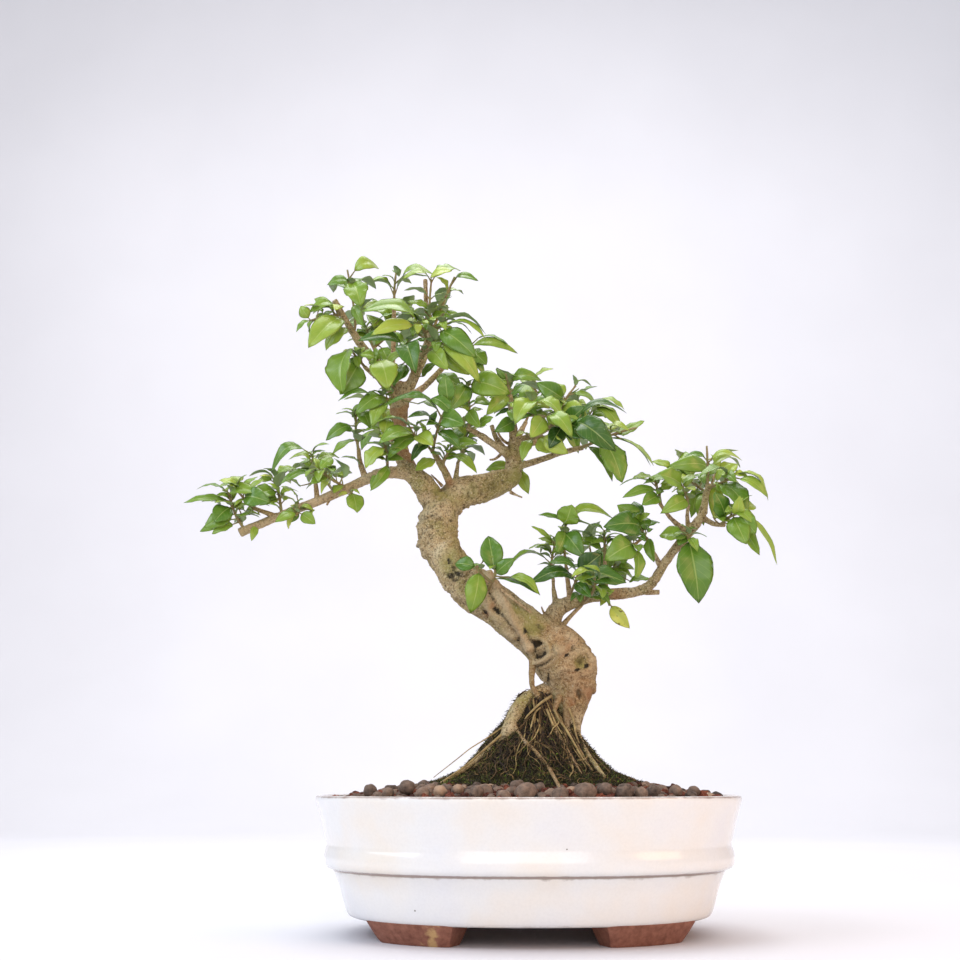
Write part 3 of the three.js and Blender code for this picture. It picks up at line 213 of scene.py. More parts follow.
# Floor and light: a pale sweep, one large soft light at the left and a smaller one at the right
studio = {
    "floor": "#DEDEE2", "floorPale": "#E2E2E6",
    "sky": "#F7F8FF",
    "skyStrength": 0.61,
    "lights": [  # name, place, looks at, width and height, power in watts, colour
        ("softboxLeft", (-1000, -450, 800), (0, 0, 180), (0.8, 0.6), 6.3, "#E3ECFF"),
        ("softboxRight", (950, -600, 560), (0, 0, 160), (0.6, 0.6), 4.25, "#FFC08C"),
        ("softboxTop", (-100, 100, 1300), (0, 0, 200), (0.9, 0.7), 9, "#FFFFFF"),
        ("frontFill", (-60, -2000, 650), (0, 0, 150), (1.6, 1.0), 11.5, "#FFFDFA"),
        ("backdropWash", (0, 700, 1500), (0, 2100, 500), (2.4, 0.5), 19, "#FFFDFD"),
    ],
}


def makeStudio():
    # Painted paper, rolled: quite matt and even, with faint mottling 330 mm wide
    material, tree, shader = newMaterial("paintedPaperSweep", {"Roughness": 0.9, "Specular IOR Level": 0.1})
    where = addNode(tree, "ShaderNodeTexCoord").outputs["Object"]
    mottle = addNode(tree, "ShaderNodeTexNoise", {"Scale": 3.0, "Detail": 2.0}, {"Vector": where})
    colour = addNode(tree, "ShaderNodeValToRGB", {"stops": [(0.3, studio["floor"]), (0.7, studio["floorPale"])]},
                     {"Fac": mottle})
    feed(tree, shader, {"Base Color": colour})
    profile = [(-2.6, 0.0), (1.3, 0.0)]
    profile += [(1.3 + 0.8 * math.sin(a), 0.8 - 0.8 * math.cos(a)) for a in np.linspace(0.1, math.pi / 2, 14)]
    profile.append((2.1, 4.0))
    points, faces = [], []
    for y, z in profile:
        points += [(-4.0, y, z), (4.0, y, z)]
    for i in range(len(profile) - 1):
        faces.append((2 * i, 2 * i + 1, 2 * i + 3, 2 * i + 2))
    mesh = bpy.data.meshes.new("studioSweep")
    mesh.from_pydata(points, [], faces)
    mesh.materials.append(material)
    mesh.polygons.foreach_set("use_smooth", np.full(len(mesh.polygons), True))
    floor = bpy.data.objects.new("studioSweep", mesh)
    bpy.context.scene.collection.objects.link(floor)
    world = bpy.data.worlds.new("softSky")
    bpy.context.scene.world = world
    world.use_nodes = True
    background = world.node_tree.nodes["Background"]
    background.inputs["Color"].default_value = linear(studio["sky"])
    background.inputs["Strength"].default_value = studio["skyStrength"]
    for name, place, target, size, power, colour in studio["lights"]:
        data = bpy.data.lights.new(name, "AREA")
        data.shape = "RECTANGLE"
        data.size, data.size_y = size
        data.energy = power
        data.color = linear(colour)[:3]
        light = bpy.data.objects.new(name, data)
        start = Vector(np.array(place) * 0.001 + potMiddle)
        light.location = start
        aim = Vector(np.array(target) * 0.001 + potMiddle) - start
        light.rotation_euler = aim.to_track_quat("-Z", "Y").to_euler()
        bpy.context.scene.collection.objects.link(light)
    bpy.context.scene.view_settings.view_transform = "Standard"


makeStudio()
print("studio set")


# The pot, a thrown and trimmed stoneware oval: outline (inset from the rim, height), from the base round the rim
potShape = {
    "length": 250, "depth": 195, "ovalPower": 2.25, "segments": 200, "spacing": 2.2,
    "outside": [
        (70, 12.4), (34, 12.2), (24.5, 11.3), (22.2, 11.1), (20.6, 11.9), (19.6, 13.4), (18.8, 15.4), (16.7, 22),
        (14.6, 29), (12.6, 33.6), (11.3, 36.2), (10.7, 37.1), (10.1, 37.4), (8.6, 37.7), (7.2, 38.4), (6.3, 39.8),
        (5.85, 41.8), (5.8, 44.4), (6.15, 46.8), (6.75, 48.7), (7.15, 50), (7.1, 51.3), (6.3, 54.5), (5.2, 59),
        (3.9, 64), (2.5, 68.6), (1.3, 72.2), (0.45, 75), (0.15, 76.4), (0.4, 77.4), (1.1, 77.95), (2.2, 78),
        (3.4, 77.7), (4.5, 76.6), (5.6, 74.2), (8, 70), (10.4, 60), (13.5, 45), (17, 35), (20, 27), (24.5, 20.5),
        (31, 18.2), (60, 18),
    ],
    "waver": 0.35,  # how far the hand-trimmed wall strays
    "drainX": 52, "drainRadius": 8,
    "foot": {  # insets at the foot's top and bottom, the angles it spans at the left and right, and its levels as
               # [height, share of the way down, share of the taper]
        "top": 21, "bottom": 27, "topInner": 44, "bottomInner": 41, "taper": 0.05, "steps": 26,
        "spans": {-1: (0.515, 1.19), 1: (0.53, 1.23)},
        "levels": [(12.9, 0, 0), (11.2, 0, 0), (8, 0.27, 0.3), (4.4, 0.6, 0.62), (1.5, 0.9, 0.9), (0.5, 1.02, 1.0),
                   (0.0, 1.12, 1.1)],
    },
    # The thin colour is the brown of thin glaze, also used for the painted shade under the belt and along its upper
    # edge
    "glaze": "#E8E7E4", "glazeCool": "#E3E4E6", "glazeWarm": "#EAE2D6", "thin": "#8A7366", "pinhole": "#6E655C",
    "clay": "#93604C", "clayDark": "#6E3F2E", "claySand": "#C2A06A",
}


def ovalPoint(inset, angle):
    c, s = math.cos(angle), math.sin(angle)
    power = 2 / potShape["ovalPower"]
    return ((potShape["length"] / 2 - inset) * math.copysign(abs(c) ** power, c),
            (potShape["depth"] / 2 - inset) * math.copysign(abs(s) ** power, s))


def stonewareGlaze():
    # White glaze on stoneware, dipped and fired: deep gloss, faint cool and warm clouds, brown where it runs thin
    # at the rim's edge, under the belt and at the foot, with painted shade in the crease under the belt and a painted
    # shadow line in the groove along its upper edge, and a few pinholes. Clouds are 45 mm wide, dimples 11 mm, thin
    # patches 6 mm and pinholes 16 mm apart. The 1.4 mm grain is coarser than in life, so that it shows.
    material, tree, shader = newMaterial("creamGlazedStoneware", {
        "Roughness": 0.16, "IOR": 1.52, "Coat Weight": 0.35, "Coat Roughness": 0.04})
    where = addNode(tree, "ShaderNodeTexCoord").outputs["Object"]
    cloud = addNode(tree, "ShaderNodeTexNoise", {"Scale": 22.0, "Detail": 3.0}, {"Vector": where})
    base = addNode(tree, "ShaderNodeValToRGB",
                   {"stops": [(0.3, potShape["glazeCool"]), (0.5, potShape["glaze"]), (0.72, potShape["glazeWarm"])]},
                   {"Fac": cloud})
    fine = addNode(tree, "ShaderNodeTexNoise", {"Scale": 700.0, "Detail": 2.0}, {"Vector": where})
    grain = addNode(tree, "ShaderNodeValToRGB", {"stops": [(0.3, 0.97), (0.62, 1.0)]}, {"Fac": fine})
    grained = addNode(tree, "ShaderNodeMix", {"data_type": "RGBA", "blend_type": "MULTIPLY", 0: 1.0},
                      {6: base, 7: grain})
    marks = addNode(tree, "ShaderNodeVertexColor", {"layer_name": "tint"})
    parts = addNode(tree, "ShaderNodeSeparateColor", None, {0: marks})
    ragged = addNode(tree, "ShaderNodeTexNoise", {"Scale": 160.0, "Detail": 4.0}, {"Vector": where})
    thinAndShadeBreakup = addNode(tree, "ShaderNodeMath", {"operation": "MULTIPLY_ADD", 1: 1.1, 2: -0.55}, {0: ragged})
    thinAndShadeMask = addNode(tree, "ShaderNodeMath", {"operation": "ADD"}, {0: parts.outputs[0], 1: thinAndShadeBreakup})
    thinAndShadeStep = addNode(tree, "ShaderNodeValToRGB", {"stops": [(0.45, 0.0), (0.95, 0.85)]}, {"Fac": thinAndShadeMask})
    brownedAndShaded = addNode(tree, "ShaderNodeMix", {"data_type": "RGBA", 7: potShape["thin"]},
                      {0: thinAndShadeStep, 6: grained.outputs[2]})
    cells = addNode(tree, "ShaderNodeTexVoronoi", {"Scale": 62.0}, {"Vector": where})
    holes = addNode(tree, "ShaderNodeValToRGB", {"stops": [(0.022, 1.0), (0.034, 0.0)]}, {"Fac": cells})
    spotted = addNode(tree, "ShaderNodeMix", {"data_type": "RGBA", 7: potShape["pinhole"]},
                      {0: holes, 6: brownedAndShaded.outputs[2]})
    dimple = addNode(tree, "ShaderNodeTexNoise", {"Scale": 90.0, "Detail": 1.0}, {"Vector": where})
    relief = addNode(tree, "ShaderNodeBump", {"Strength": 0.12, "Distance": 0.0012}, {"Height": dimple})
    feed(tree, shader, {"Base Color": spotted.outputs[2], "Normal": relief})
    return material


def bareStoneware():
    # Unglazed stoneware on the feet: dry red-brown clay with a sandy stain at the front left. Its 4 mm grain is
    # coarser than real sand, so that it shows.
    material, tree, shader = newMaterial("bareRedStoneware", {"Roughness": 0.72, "IOR": 1.5})
    where = addNode(tree, "ShaderNodeTexCoord").outputs["Object"]
    grain = addNode(tree, "ShaderNodeTexNoise", {"Scale": 260.0, "Detail": 5.0, "Roughness": 0.65}, {"Vector": where})
    base = addNode(tree, "ShaderNodeValToRGB", {"stops": [(0.3, potShape["clayDark"]), (0.65, potShape["clay"])]},
                   {"Fac": grain})
    stainPlace = addNode(tree, "ShaderNodeVertexColor", {"layer_name": "tint"})
    parts = addNode(tree, "ShaderNodeSeparateColor", None, {0: stainPlace})
    ragged = addNode(tree, "ShaderNodeTexNoise", {"Scale": 240.0, "Detail": 5.0}, {"Vector": where})
    stain = addNode(tree, "ShaderNodeMath", {"operation": "MULTIPLY"}, {0: parts.outputs[1], 1: ragged})
    stainStep = addNode(tree, "ShaderNodeValToRGB", {"stops": [(0.38, 0.0), (0.6, 0.8)]}, {"Fac": stain})
    mixed = addNode(tree, "ShaderNodeMix", {"data_type": "RGBA", 7: potShape["claySand"]}, {0: stainStep, 6: base})
    relief = addNode(tree, "ShaderNodeBump", {"Strength": 0.5, "Distance": 0.0004}, {"Height": grain})
    feed(tree, shader, {"Base Color": mixed.outputs[2], "Normal": relief})
    return material


def glazeThinningAndShade(inset, height):  # how much the glaze is browned here: thin glaze at the rim, under the belt and at the foot ring, painted shade in the crease under the belt and a painted shadow line along its upper edge
    amount = 0.95 * math.exp(-((height - 77.3) / 0.9) ** 2) if height > 73 and inset < 6 else 0
    # Under the belt the wall steps in: thin glaze there, with painted shade in the crease
    amount += 1.7 * math.exp(-((height - 37.1) / 0.85) ** 2) if 8 < inset < 12.5 else 0
    # A painted shadow line in the groove along the belt's upper edge
    amount += 0.25 * math.exp(-((height - 50.4) / 1.2) ** 2) if inset < 9 else 0
    return amount + (0.5 * math.exp(-((height - 11.6) / 1.2) ** 2) if inset < 30 else 0)


def makeBowl():
    segments = potShape["segments"]
    profile = [np.array(p, float) for p in potShape["outside"]]
    fine = []
    for a, b in zip(profile, profile[1:]):
        steps = max(1, int(np.linalg.norm(b - a) / potShape["spacing"]))
        fine += [a + (b - a) * k / steps for k in range(steps)]
    fine.append(profile[-1])
    points, tint = [], []
    for inset, height in fine:
        outer = height > 36.9 and inset < 12
        thinnedAndShaded = glazeThinningAndShade(inset, height)
        for i in range(segments):
            x, y = ovalPoint(inset, 2 * math.pi * i / segments)
            stray = potShape["waver"] * noise.noise((x / 60, y / 60, height / 45)) if outer else 0
            points.append((x * (1 + stray / 125), y * (1 + stray / 97), height + 0.5 * stray * (height > 60)))
            tint.append((thinnedAndShaded, 0, 0, 1))
    faces = []
    for r in range(len(fine) - 1):
        for i in range(segments):
            j = (i + 1) % segments
            faces.append((r * segments + i, r * segments + j, (r + 1) * segments + j, (r + 1) * segments + i))
    faces.append(tuple(reversed(range(segments))))
    faces.append(tuple((len(fine) - 1) * segments + i for i in range(segments)))
    faceSlots = []
    for face in faces:
        middle = sum((fine[k // segments] for k in face[:4]), np.zeros(2)) / min(4, len(face))
        faceSlots.append(1 if middle[0] > 23.5 and middle[1] < 13 else 0)  # the underside stays bare
    return makePiece("pot_glazed", points, faces, [stonewareGlaze(), bareStoneware()], ["pot"], faceSlots,
                     tint=tint)


def cutDrains(bowl):
    sides = 40
    cutters = []
    for x in (-potShape["drainX"], potShape["drainX"]):
        ring = [(x + potShape["drainRadius"] * math.cos(a), potShape["drainRadius"] * math.sin(a))
                for a in np.linspace(0, 2 * math.pi, sides, endpoint=False)]
        mesh = bpy.data.meshes.new("drainCutter")
        mesh.from_pydata([tuple(np.array((px, py, z)) * 0.001 + potMiddle) for z in (5, 25) for px, py in ring], [],
                         [tuple(reversed(range(sides))), tuple(range(sides, 2 * sides))]
                         + [(i, (i + 1) % sides, sides + (i + 1) % sides, sides + i) for i in range(sides)])
        cutter = bpy.data.objects.new("drainCutter", mesh)
        bpy.context.scene.collection.objects.link(cutter)
        cut = bowl.modifiers.new("drain", "BOOLEAN")
        cut.object = cutter
        cut.solver = "EXACT"
        cutters.append(cutter)
    bakeModifiers(bowl)
    for cutter in cutters:
        bpy.data.objects.remove(cutter)


def makeFeet():
    heap = Heap()
    foot = potShape["foot"]
    across, levels = foot["steps"], foot["levels"]
    for signX in (-1, 1):
        for signY in (-1, 1):
            points, tint = [], []
            for height, down, narrow in levels:
                outer = foot["top"] + (foot["bottom"] - foot["top"]) * down
                inner = foot["topInner"] + (foot["bottomInner"] - foot["topInner"]) * down
                begin = foot["spans"][signX][0] + foot["taper"] * narrow
                end = foot["spans"][signX][1] - foot["taper"] * narrow
                for inset, order, worn in ((outer, range(across + 1), 1.1), (inner, range(across, -1, -1), -1.1)):
                    for i in order:
                        share = i / across
                        edge = max(0, 1 - min(share, 1 - share) / 0.06)
                        x, y = ovalPoint(inset + worn * edge, begin + (end - begin) * share)
                        points.append((signX * x, signY * y, height))
                        stain = math.exp(-((abs(x) - 54) / 9) ** 2) if signX < 0 and signY < 0 else 0
                        tint.append((0, stain, 0, 1))
            count = 2 * (across + 1)
            faces = []
            for r in range(len(levels) - 1):
                for i in range(count):
                    j = (i + 1) % count
                    faces.append((r * count + i, (r + 1) * count + i, (r + 1) * count + j, r * count + j))
            faces.append(tuple(range(count)))
            faces.append(tuple(reversed([(len(levels) - 1) * count + i for i in range(count)])))
            if signX * signY > 0:
                faces = [tuple(reversed(face)) for face in faces]
            heap.add(points, faces, tint)
    heap.piece("pot_feet", [bpy.data.materials["bareRedStoneware"]], "glaze", "pot", smooth=False)


def bakeModifiers(piece):  # puts what the modifiers give into the mesh itself
    bpy.context.view_layer.update()
    shaped = piece.evaluated_get(bpy.context.evaluated_depsgraph_get())
    mesh = bpy.data.meshes.new_from_object(shaped)
    old = piece.data
    piece.modifiers.clear()
    piece.data = mesh
    bpy.data.meshes.remove(old)


cutDrains(makeBowl())
makeFeet()
print("pot made")


# The soil: a mound of fibrous roots round the trunk, as [distance, height], falling to the rim
soilShape = {
    "moundX": 5, "moundStretch": (1.06, 1.0), "mossReach": 57,
    "moundFlank": [(0, 139), (9, 136.5), (17, 121), (24.5, 112), (30, 105), (35, 98), (43.5, 90), (53, 86), (64, 82),
                   (90, 78), (130, 74)],
    "wallInset": 8.6,
    "clayPebbles": 300, "claySize": (2.6, 5.2), "lavaPieces": 220, "lavaSize": (1.8, 4.6),
    "grit": 1400, "gritSize": (0.7, 1.9), "rootlets": 230, "fibres": 1500, "mossBlades": 27000,
    "loamStops": ["#1A120D", "#33251A", "#2F3516"],
    "clayStops": ["#3E322B", "#67564A", "#87705F", "#AD9076"], "lavaStops": ["#35190F", "#653425", "#87492F"],
    "mossStops": ["#211A10", "#3E3B1C", "#5C6628", "#93AE3C"], "rootStops": ["#2B1E15", "#66502F", "#B7A06A"],
    "fibreStops": ["#1F170F", "#4A3823", "#8D7148"],
    "mainPebbles": [  # the large ones along the front rim, as [x, depth, z, radius, shade from dark to pale]
        (-68.5, -58, 82.6, 4.9, 0.35), (-30, -80, 80.4, 3.9, 0.42), (-4.2, -82, 80.4, 5.9, 0.52),
        (14.5, -82, 79, 4.6, 0.4), (27.6, -80, 80, 6.2, 0.45), (38.5, -76, 81.8, 4.4, 0.36),
        (49, -76, 80.2, 5.4, 0.3), (-49.7, -74, 80.6, 3.8, 1.0), (-90, -40, 80.4, 4.6, 0.3),
        (-40, -78, 82, 2.9, 0.85), (66, -66, 80, 4.4, 0.25), (80, -54, 80.6, 4.2, 0.55), (-59, -72, 79.6, 4.0, 0.55),
        (-79, -56, 79.4, 3.8, 0.5), (58.5, -74, 79.4, 4.0, 0.6), (92, -40, 80, 4, 0.35),
    ],
    "strands": [  # loose ones that show in the front view, as [x, z, depth, radius] lists
        [[-14, 118, -16, 0.5], [-25, 110.5, -20, 0.4], [-34, 105, -24, 0.35], [-43, 98, -28, 0.3],
         [-56, 88, -30, 0.25]],
        [[-12, 116, -18, 0.8], [-26, 104, -24, 0.7], [-38, 94, -28, 0.6], [-50, 86, -32, 0.5]],
        [[15, 136, -13, 1.1], [8, 131.5, -15, 0.8], [1, 125, -17, 0.6], [-1.5, 122, -18, 0.4]],
        [[8, 129, -15, 0.5], [5, 126, -17, 0.6], [3, 120, -20, 0.6], [1.5, 112, -22, 0.5], [2, 108, -24, 0.4]],
        [[12, 128, -14, 0.7], [15, 120, -18, 0.8], [19, 110.5, -22, 0.8], [24, 104, -26, 0.7], [28, 98, -30, 0.5]],
        [[16, 128, -13, 0.8], [20, 121, -16, 0.8], [24, 115, -19, 0.8], [29, 106, -23, 0.7], [33, 99, -27, 0.6],
         [39, 92, -31, 0.4]],
        [[25, 129, -11, 0.6], [28, 121, -14, 0.7], [29, 114, -17, 0.6], [31, 108, -21, 0.5]],
        [[20, 124, -13, 0.5], [22, 116, -17, 0.5], [22.5, 110, -21, 0.4]],
        [[3, 107, -24, 0.35], [9, 105, -25, 0.4], [14, 109, -22, 0.35]],
        [[14, 116, -18, 0.4], [15, 111, -21, 0.4], [12, 108, -24, 0.3]],
    ],
}


def moundDistance(x, y):
    stretch = soilShape["moundStretch"]
    return math.hypot((x - soilShape["moundX"]) / stretch[0], y / stretch[1])


def soilHeight(x, y):
    out = moundDistance(x, y)
    flank = soilShape["moundFlank"]
    k = 1
    while k < len(flank) - 1 and flank[k][0] < out:
        k += 1
    (r0, z0), (r1, z1) = flank[k - 1], flank[k]
    power = potShape["ovalPower"]
    rim = abs(x / (potShape["length"] / 2)) ** power + abs(y / (potShape["depth"] / 2)) ** power
    return z0 + (z1 - z0) * min(out - r0, r1 - r0) / (r1 - r0) - 2.5 * min(rim, 1) ** 3


def mossEdge(x, y):  # how far the moss spreads from the trunk on this side
    away = unit(np.array([x - soilShape["moundX"], y, 1e-6]))
    return soilShape["mossReach"] + 9 * noise.noise(Vector(away * 1.9 + np.array([0, 0, 4.7])))


def soilNormal(x, y):
    slopeX = (soilHeight(x + 1, y) - soilHeight(x - 1, y)) / 2
    slopeY = (soilHeight(x, y + 1) - soilHeight(x, y - 1)) / 2
    return unit(np.array([-slopeX, -slopeY, 1.0]))


def grainyMaterial(name, stops, scale, roughness, bump):
    # Dry mineral or fibre, matt, whose pieces differ: each one's own tint picks the colour, and grain varies it. A
    # scale of 1000 is grain of 1 mm, and none is finer than shows.
    material, tree, shader = newMaterial(name, {"Roughness": roughness, "IOR": 1.5})
    where = addNode(tree, "ShaderNodeTexCoord").outputs["Object"]
    grain = addNode(tree, "ShaderNodeTexNoise", {"Scale": scale, "Detail": 5.0, "Roughness": 0.6}, {"Vector": where})
    marks = addNode(tree, "ShaderNodeVertexColor", {"layer_name": "tint"})
    parts = addNode(tree, "ShaderNodeSeparateColor", None, {0: marks})
    varied = addNode(tree, "ShaderNodeMath", {"operation": "MULTIPLY_ADD", 1: 1.3, 2: -0.65}, {0: grain})
    total = addNode(tree, "ShaderNodeMath", {"operation": "ADD", "use_clamp": True}, {0: parts.outputs[0], 1: varied})
    places = [i / (len(stops) - 1) for i in range(len(stops))]
    colour = addNode(tree, "ShaderNodeValToRGB", {"stops": list(zip(places, stops))}, {"Fac": total})
    relief = addNode(tree, "ShaderNodeBump", {"Strength": bump, "Distance": 0.0006}, {"Height": grain})
    feed(tree, shader, {"Base Color": colour, "Normal": relief})
    return material


def sphereShape(divisions):
    mesh = bmesh.new()
    bmesh.ops.create_icosphere(mesh, subdivisions=divisions, radius=1.0)
    points = np.array([v.co for v in mesh.verts])
    faces = [tuple(v.index for v in f.verts) for f in mesh.faces]
    mesh.free()
    return points, faces


def stone(rng, sphere, centre, size, flat, rough, roughScale):
    points, faces = sphere
    turn = rng.normal(size=(3, 3))
    turn, _ = np.linalg.qr(turn)
    shift = rng.uniform(-50, 50, 3)
    lumps = np.array([noise.noise(Vector(p * roughScale + shift)) for p in points])
    shaped = points * (1 + rough * lumps)[:, None]
    shaped = (shaped * np.array([1, rng.uniform(0.8, 1), rng.uniform(0.75, 0.95)])) @ turn.T
    shaped[:, 2] *= flat
    return shaped * size + centre, faces


def spread(rng, count, size, reachOut, gap, inner, placed, evenness=0.5):
    # places for stones on the soil, apart from each other and outside the moss
    found = []
    for _ in range(count * 60):
        if len(found) >= count:
            break
        angle, reach = rng.uniform(0, 2 * math.pi), rng.uniform(0, 1) ** evenness
        radius = rng.uniform(*size)
        x, y = (reach * edge for edge in ovalPoint(reachOut + radius, angle))
        if moundDistance(x, y) < mossEdge(x, y) + inner + radius:
            continue
        if any(math.hypot(px - x, py - y) < gap * (pr + radius) for px, py, pr in placed):
            continue
        placed.append((x, y, radius))
        found.append((x, y, radius))
    return found


def makeSoilBed():
    around, outward = 180, 64
    points, tint = [], []
    for r in range(1, outward + 1):
        share = r / outward
        for i in range(around):
            ox, oy = ovalPoint(soilShape["wallInset"], 2 * math.pi * i / around)
            x = soilShape["moundX"] * (1 - share) + ox * share
            y = oy * share
            out = moundDistance(x, y)
            rough = 1.5 if out < 50 else 0.8
            rise = rough * noise.fractal(Vector((x / 5, y / 5, 3.1)), 1.0, 2.0, 4)
            points.append((x, y, soilHeight(x, y) + rise - 0.9))
            tint.append((0.5 - 0.4 * min(1, max(0, (66 - out) / 30)), 0, 0, 1))
    for inset, height in ((12, 62), (22, 28), (34, 20)):  # down inside the wall
        for i in range(around):
            points.append((*ovalPoint(inset, 2 * math.pi * i / around), height))
            tint.append((0.3, 0, 0, 1))
    faces = []
    for r in range(outward + 2):
        for i in range(around):
            j = (i + 1) % around
            faces.append((r * around + i, (r + 1) * around + i, (r + 1) * around + j, r * around + j))
    middle = len(points)
    points.append((soilShape["moundX"], 0, soilHeight(soilShape["moundX"], 0) - 1))
    tint.append((0.1, 0, 0, 1))
    faces += [(middle, i, (i + 1) % around) for i in range(around)]
    faces.append(tuple(reversed([(outward + 2) * around + i for i in range(around)])))
    loam = grainyMaterial("dampRootLoam", soilShape["loamStops"], 220.0, 0.95, 0.9)  # crumbs of 4.5 mm
    makePiece("soil_bed", points, faces, [loam], ["soil"], tint=tint)


def makePebbles(rng):
    sphere, small = sphereShape(3), sphereShape(2)
    clay, lava, grit = Heap(), Heap(), Heap()
    placed = []
    for x, y, z, radius, shade in soilShape["mainPebbles"]:
        placed.append((x, y, radius))
        clay.add(*stone(rng, sphere, np.array([x, y, z]), radius, 0.95, 0.18, 1.3), (shade, 0, 0, 1))
    for x, y, radius in spread(rng, soilShape["clayPebbles"], soilShape["claySize"], 8.2, 0.84, 1, placed):
        lift = soilHeight(x, y) + radius * rng.uniform(-0.45, 0.15)
        shape = stone(rng, sphere, np.array([x, y, lift]), radius, 0.9, 0.22, 1.3)
        clay.add(*shape, (float(np.clip(rng.normal(0.42, 0.2), 0.02, 0.95)), 0, 0, 1))
    placed = [(x, y, r * 0.75) for x, y, r in placed]
    for x, y, radius in spread(rng, soilShape["lavaPieces"], soilShape["lavaSize"], 8.2, 0.75, 3, placed):
        lift = soilHeight(x, y) + radius * rng.uniform(-0.4, 0.35)
        shape = stone(rng, sphere, np.array([x, y, lift]), radius, 0.85, 0.5, 2.2)
        lava.add(*shape, (float(rng.uniform(0.05, 0.9)), 0, 0, 1))
    for x, y, radius in spread(rng, soilShape["grit"], soilShape["gritSize"], 8.4, 0.1, 1, [], 0.25):
        lift = soilHeight(x, y) + rng.uniform(-0.5, 0.5)
        shape = stone(rng, small, np.array([x, y, lift]), radius, 0.8, 0.4, 1.7)
        grit.add(*shape, (float(rng.uniform(0, 1)), 0, 0, 1))
    clayMaterial = grainyMaterial("firedClayPebbles", soilShape["clayStops"], 420.0, 0.85, 1.0)  # 2.4 mm blotches
    lavaMaterial = grainyMaterial("redLavaGrit", soilShape["lavaStops"], 700.0, 0.95, 1.0)  # 1.4 mm pores
    clay.piece("pebbles_clay", [clayMaterial], "soil", "soil")
    lava.piece("pebbles_lava", [lavaMaterial], "soil", "soil", smooth=False)
    grit.piece("grit_fine", [lavaMaterial], "soil", "soil")


def makeMoss(rng):
    moss = Heap()
    for k in range(soilShape["mossBlades"]):
        bright = k % 9 == 0
        if bright:  # a brighter cushion of moss at the mound's left foot, and a few more round it
            angle = rng.choice([-2.62, -2.9, 0.5, 2.4, -0.5], p=[0.55, 0.15, 0.1, 0.1, 0.1]) + rng.normal(0, 0.09)
            out = abs(rng.normal(54, 5))
        else:
            angle, share = rng.uniform(0, 2 * math.pi), math.sqrt(rng.uniform(0, 1))
            edge = mossEdge(soilShape["moundX"] + 50 * math.cos(angle), 50 * math.sin(angle))
            out = 8 + (edge - 3) * share + rng.normal(0, 1.5)
        x = soilShape["moundX"] + out * math.cos(angle) * soilShape["moundStretch"][0]
        y = out * math.sin(angle)
        if (x / 115) ** 2 + (y / 87) ** 2 > 1:  # past the pot's wall
            continue
        base = np.array([x, y, soilHeight(x, y) - 0.8])
        lean = unit(soilNormal(x, y) + rng.normal(0, 0.55, 3) + np.array([0, 0, -0.25]))
        across = unit(np.cross(lean, rng.normal(size=3))) * rng.uniform(0.17, 0.36)
        tall = rng.uniform(1.7, 4.8) * (0.75 if bright else 1)
        droop = np.array([0, 0, -0.35 * tall]) * rng.uniform(0, 1)
        mid = base + lean * tall * 0.55
        end = base + lean * tall + droop
        points = [base - across, base + across, mid - across * 0.8, mid + across * 0.8, end]
        value = rng.uniform(0.5, 0.95) if bright else float(np.clip(rng.normal(0.29, 0.22), 0, 0.85))
        moss.add(points, [(0, 1, 3, 2), (2, 3, 4)], (value, 0, 0, 1))
    cushion = grainyMaterial("cushionMoss", soilShape["mossStops"], 300.0, 0.8, 0.2)  # 3 mm patches of green
    moss.piece("moss", [cushion], "soil", "soil")


def makeFineRoots(rng):
    threads, fibres = Heap(), Heap()
    for k in range(soilShape["rootlets"] + soilShape["fibres"]):
        isFibre = k >= soilShape["rootlets"]  # rootlets run down the mound, fibres lie about all over it
        angle = rng.uniform(0, 2 * math.pi)
        out = rng.uniform(7, 66) if isFibre else 7 + 30 * rng.uniform(0, 1) ** 1.5
        heading = rng.uniform(0, 2 * math.pi) if isFibre else angle + rng.normal(0, 0.6)
        x = soilShape["moundX"] + out * math.cos(angle) * soilShape["moundStretch"][0]
        y = out * math.sin(angle)
        radius = rng.uniform(0.16, 0.34) if isFibre else 0.2 + 0.5 * rng.uniform(0, 1) ** 2
        path = []
        arch = rng.uniform(0, 2.4)
        steps = int(rng.integers(3, 6)) if isFibre else int(rng.integers(4, 9))
        reach = rng.uniform(1.4, 2.6) if isFibre else rng.uniform(3.2, 5)
        for i in range(steps + 1):
            height = soilHeight(x, y) + 0.3 + arch * math.sin(math.pi * i / steps)
            path.append((np.array([x, y, height]), radius * (1 - 0.6 * i / steps)))
            heading += rng.normal(0, 0.7 if isFibre else 0.42)
            x += reach * math.cos(heading)
            y += reach * math.sin(heading)
        points, faces, _ = tubeShape(path, 4 if isFibre else 5, 1.8 if isFibre else 2.4)
        shade = rng.uniform(0, 1) ** (1.1 if isFibre else 1.8)
        (fibres if isFibre else threads).add(points, faces, (float(shade), 0, 0, 1))
    for strand in soilShape["strands"]:
        points, faces, _ = tubeShape([(seen(x, z, depth), radius) for x, z, depth, radius in strand], 6, 2.0)
        threads.add(points, faces, (0.8, 0, 0, 1))
    rootlet = grainyMaterial("dryRootlets", soilShape["rootStops"], 260.0, 0.8, 0.3)  # 4 mm grain, as on the fibres
    threads.piece("rootlets", [rootlet], "soil", "soil")
    fibre = grainyMaterial("deadRootFibre", soilShape["fibreStops"], 300.0, 0.85, 0.2)
    fibres.piece("root_fibres", [fibre], "soil", "soil")


soilDraws = np.random.default_rng(41)
makeSoilBed()
makePebbles(soilDraws)
makeMoss(soilDraws)
makeFineRoots(soilDraws)
print("soil, pebbles, moss and rootlets made")


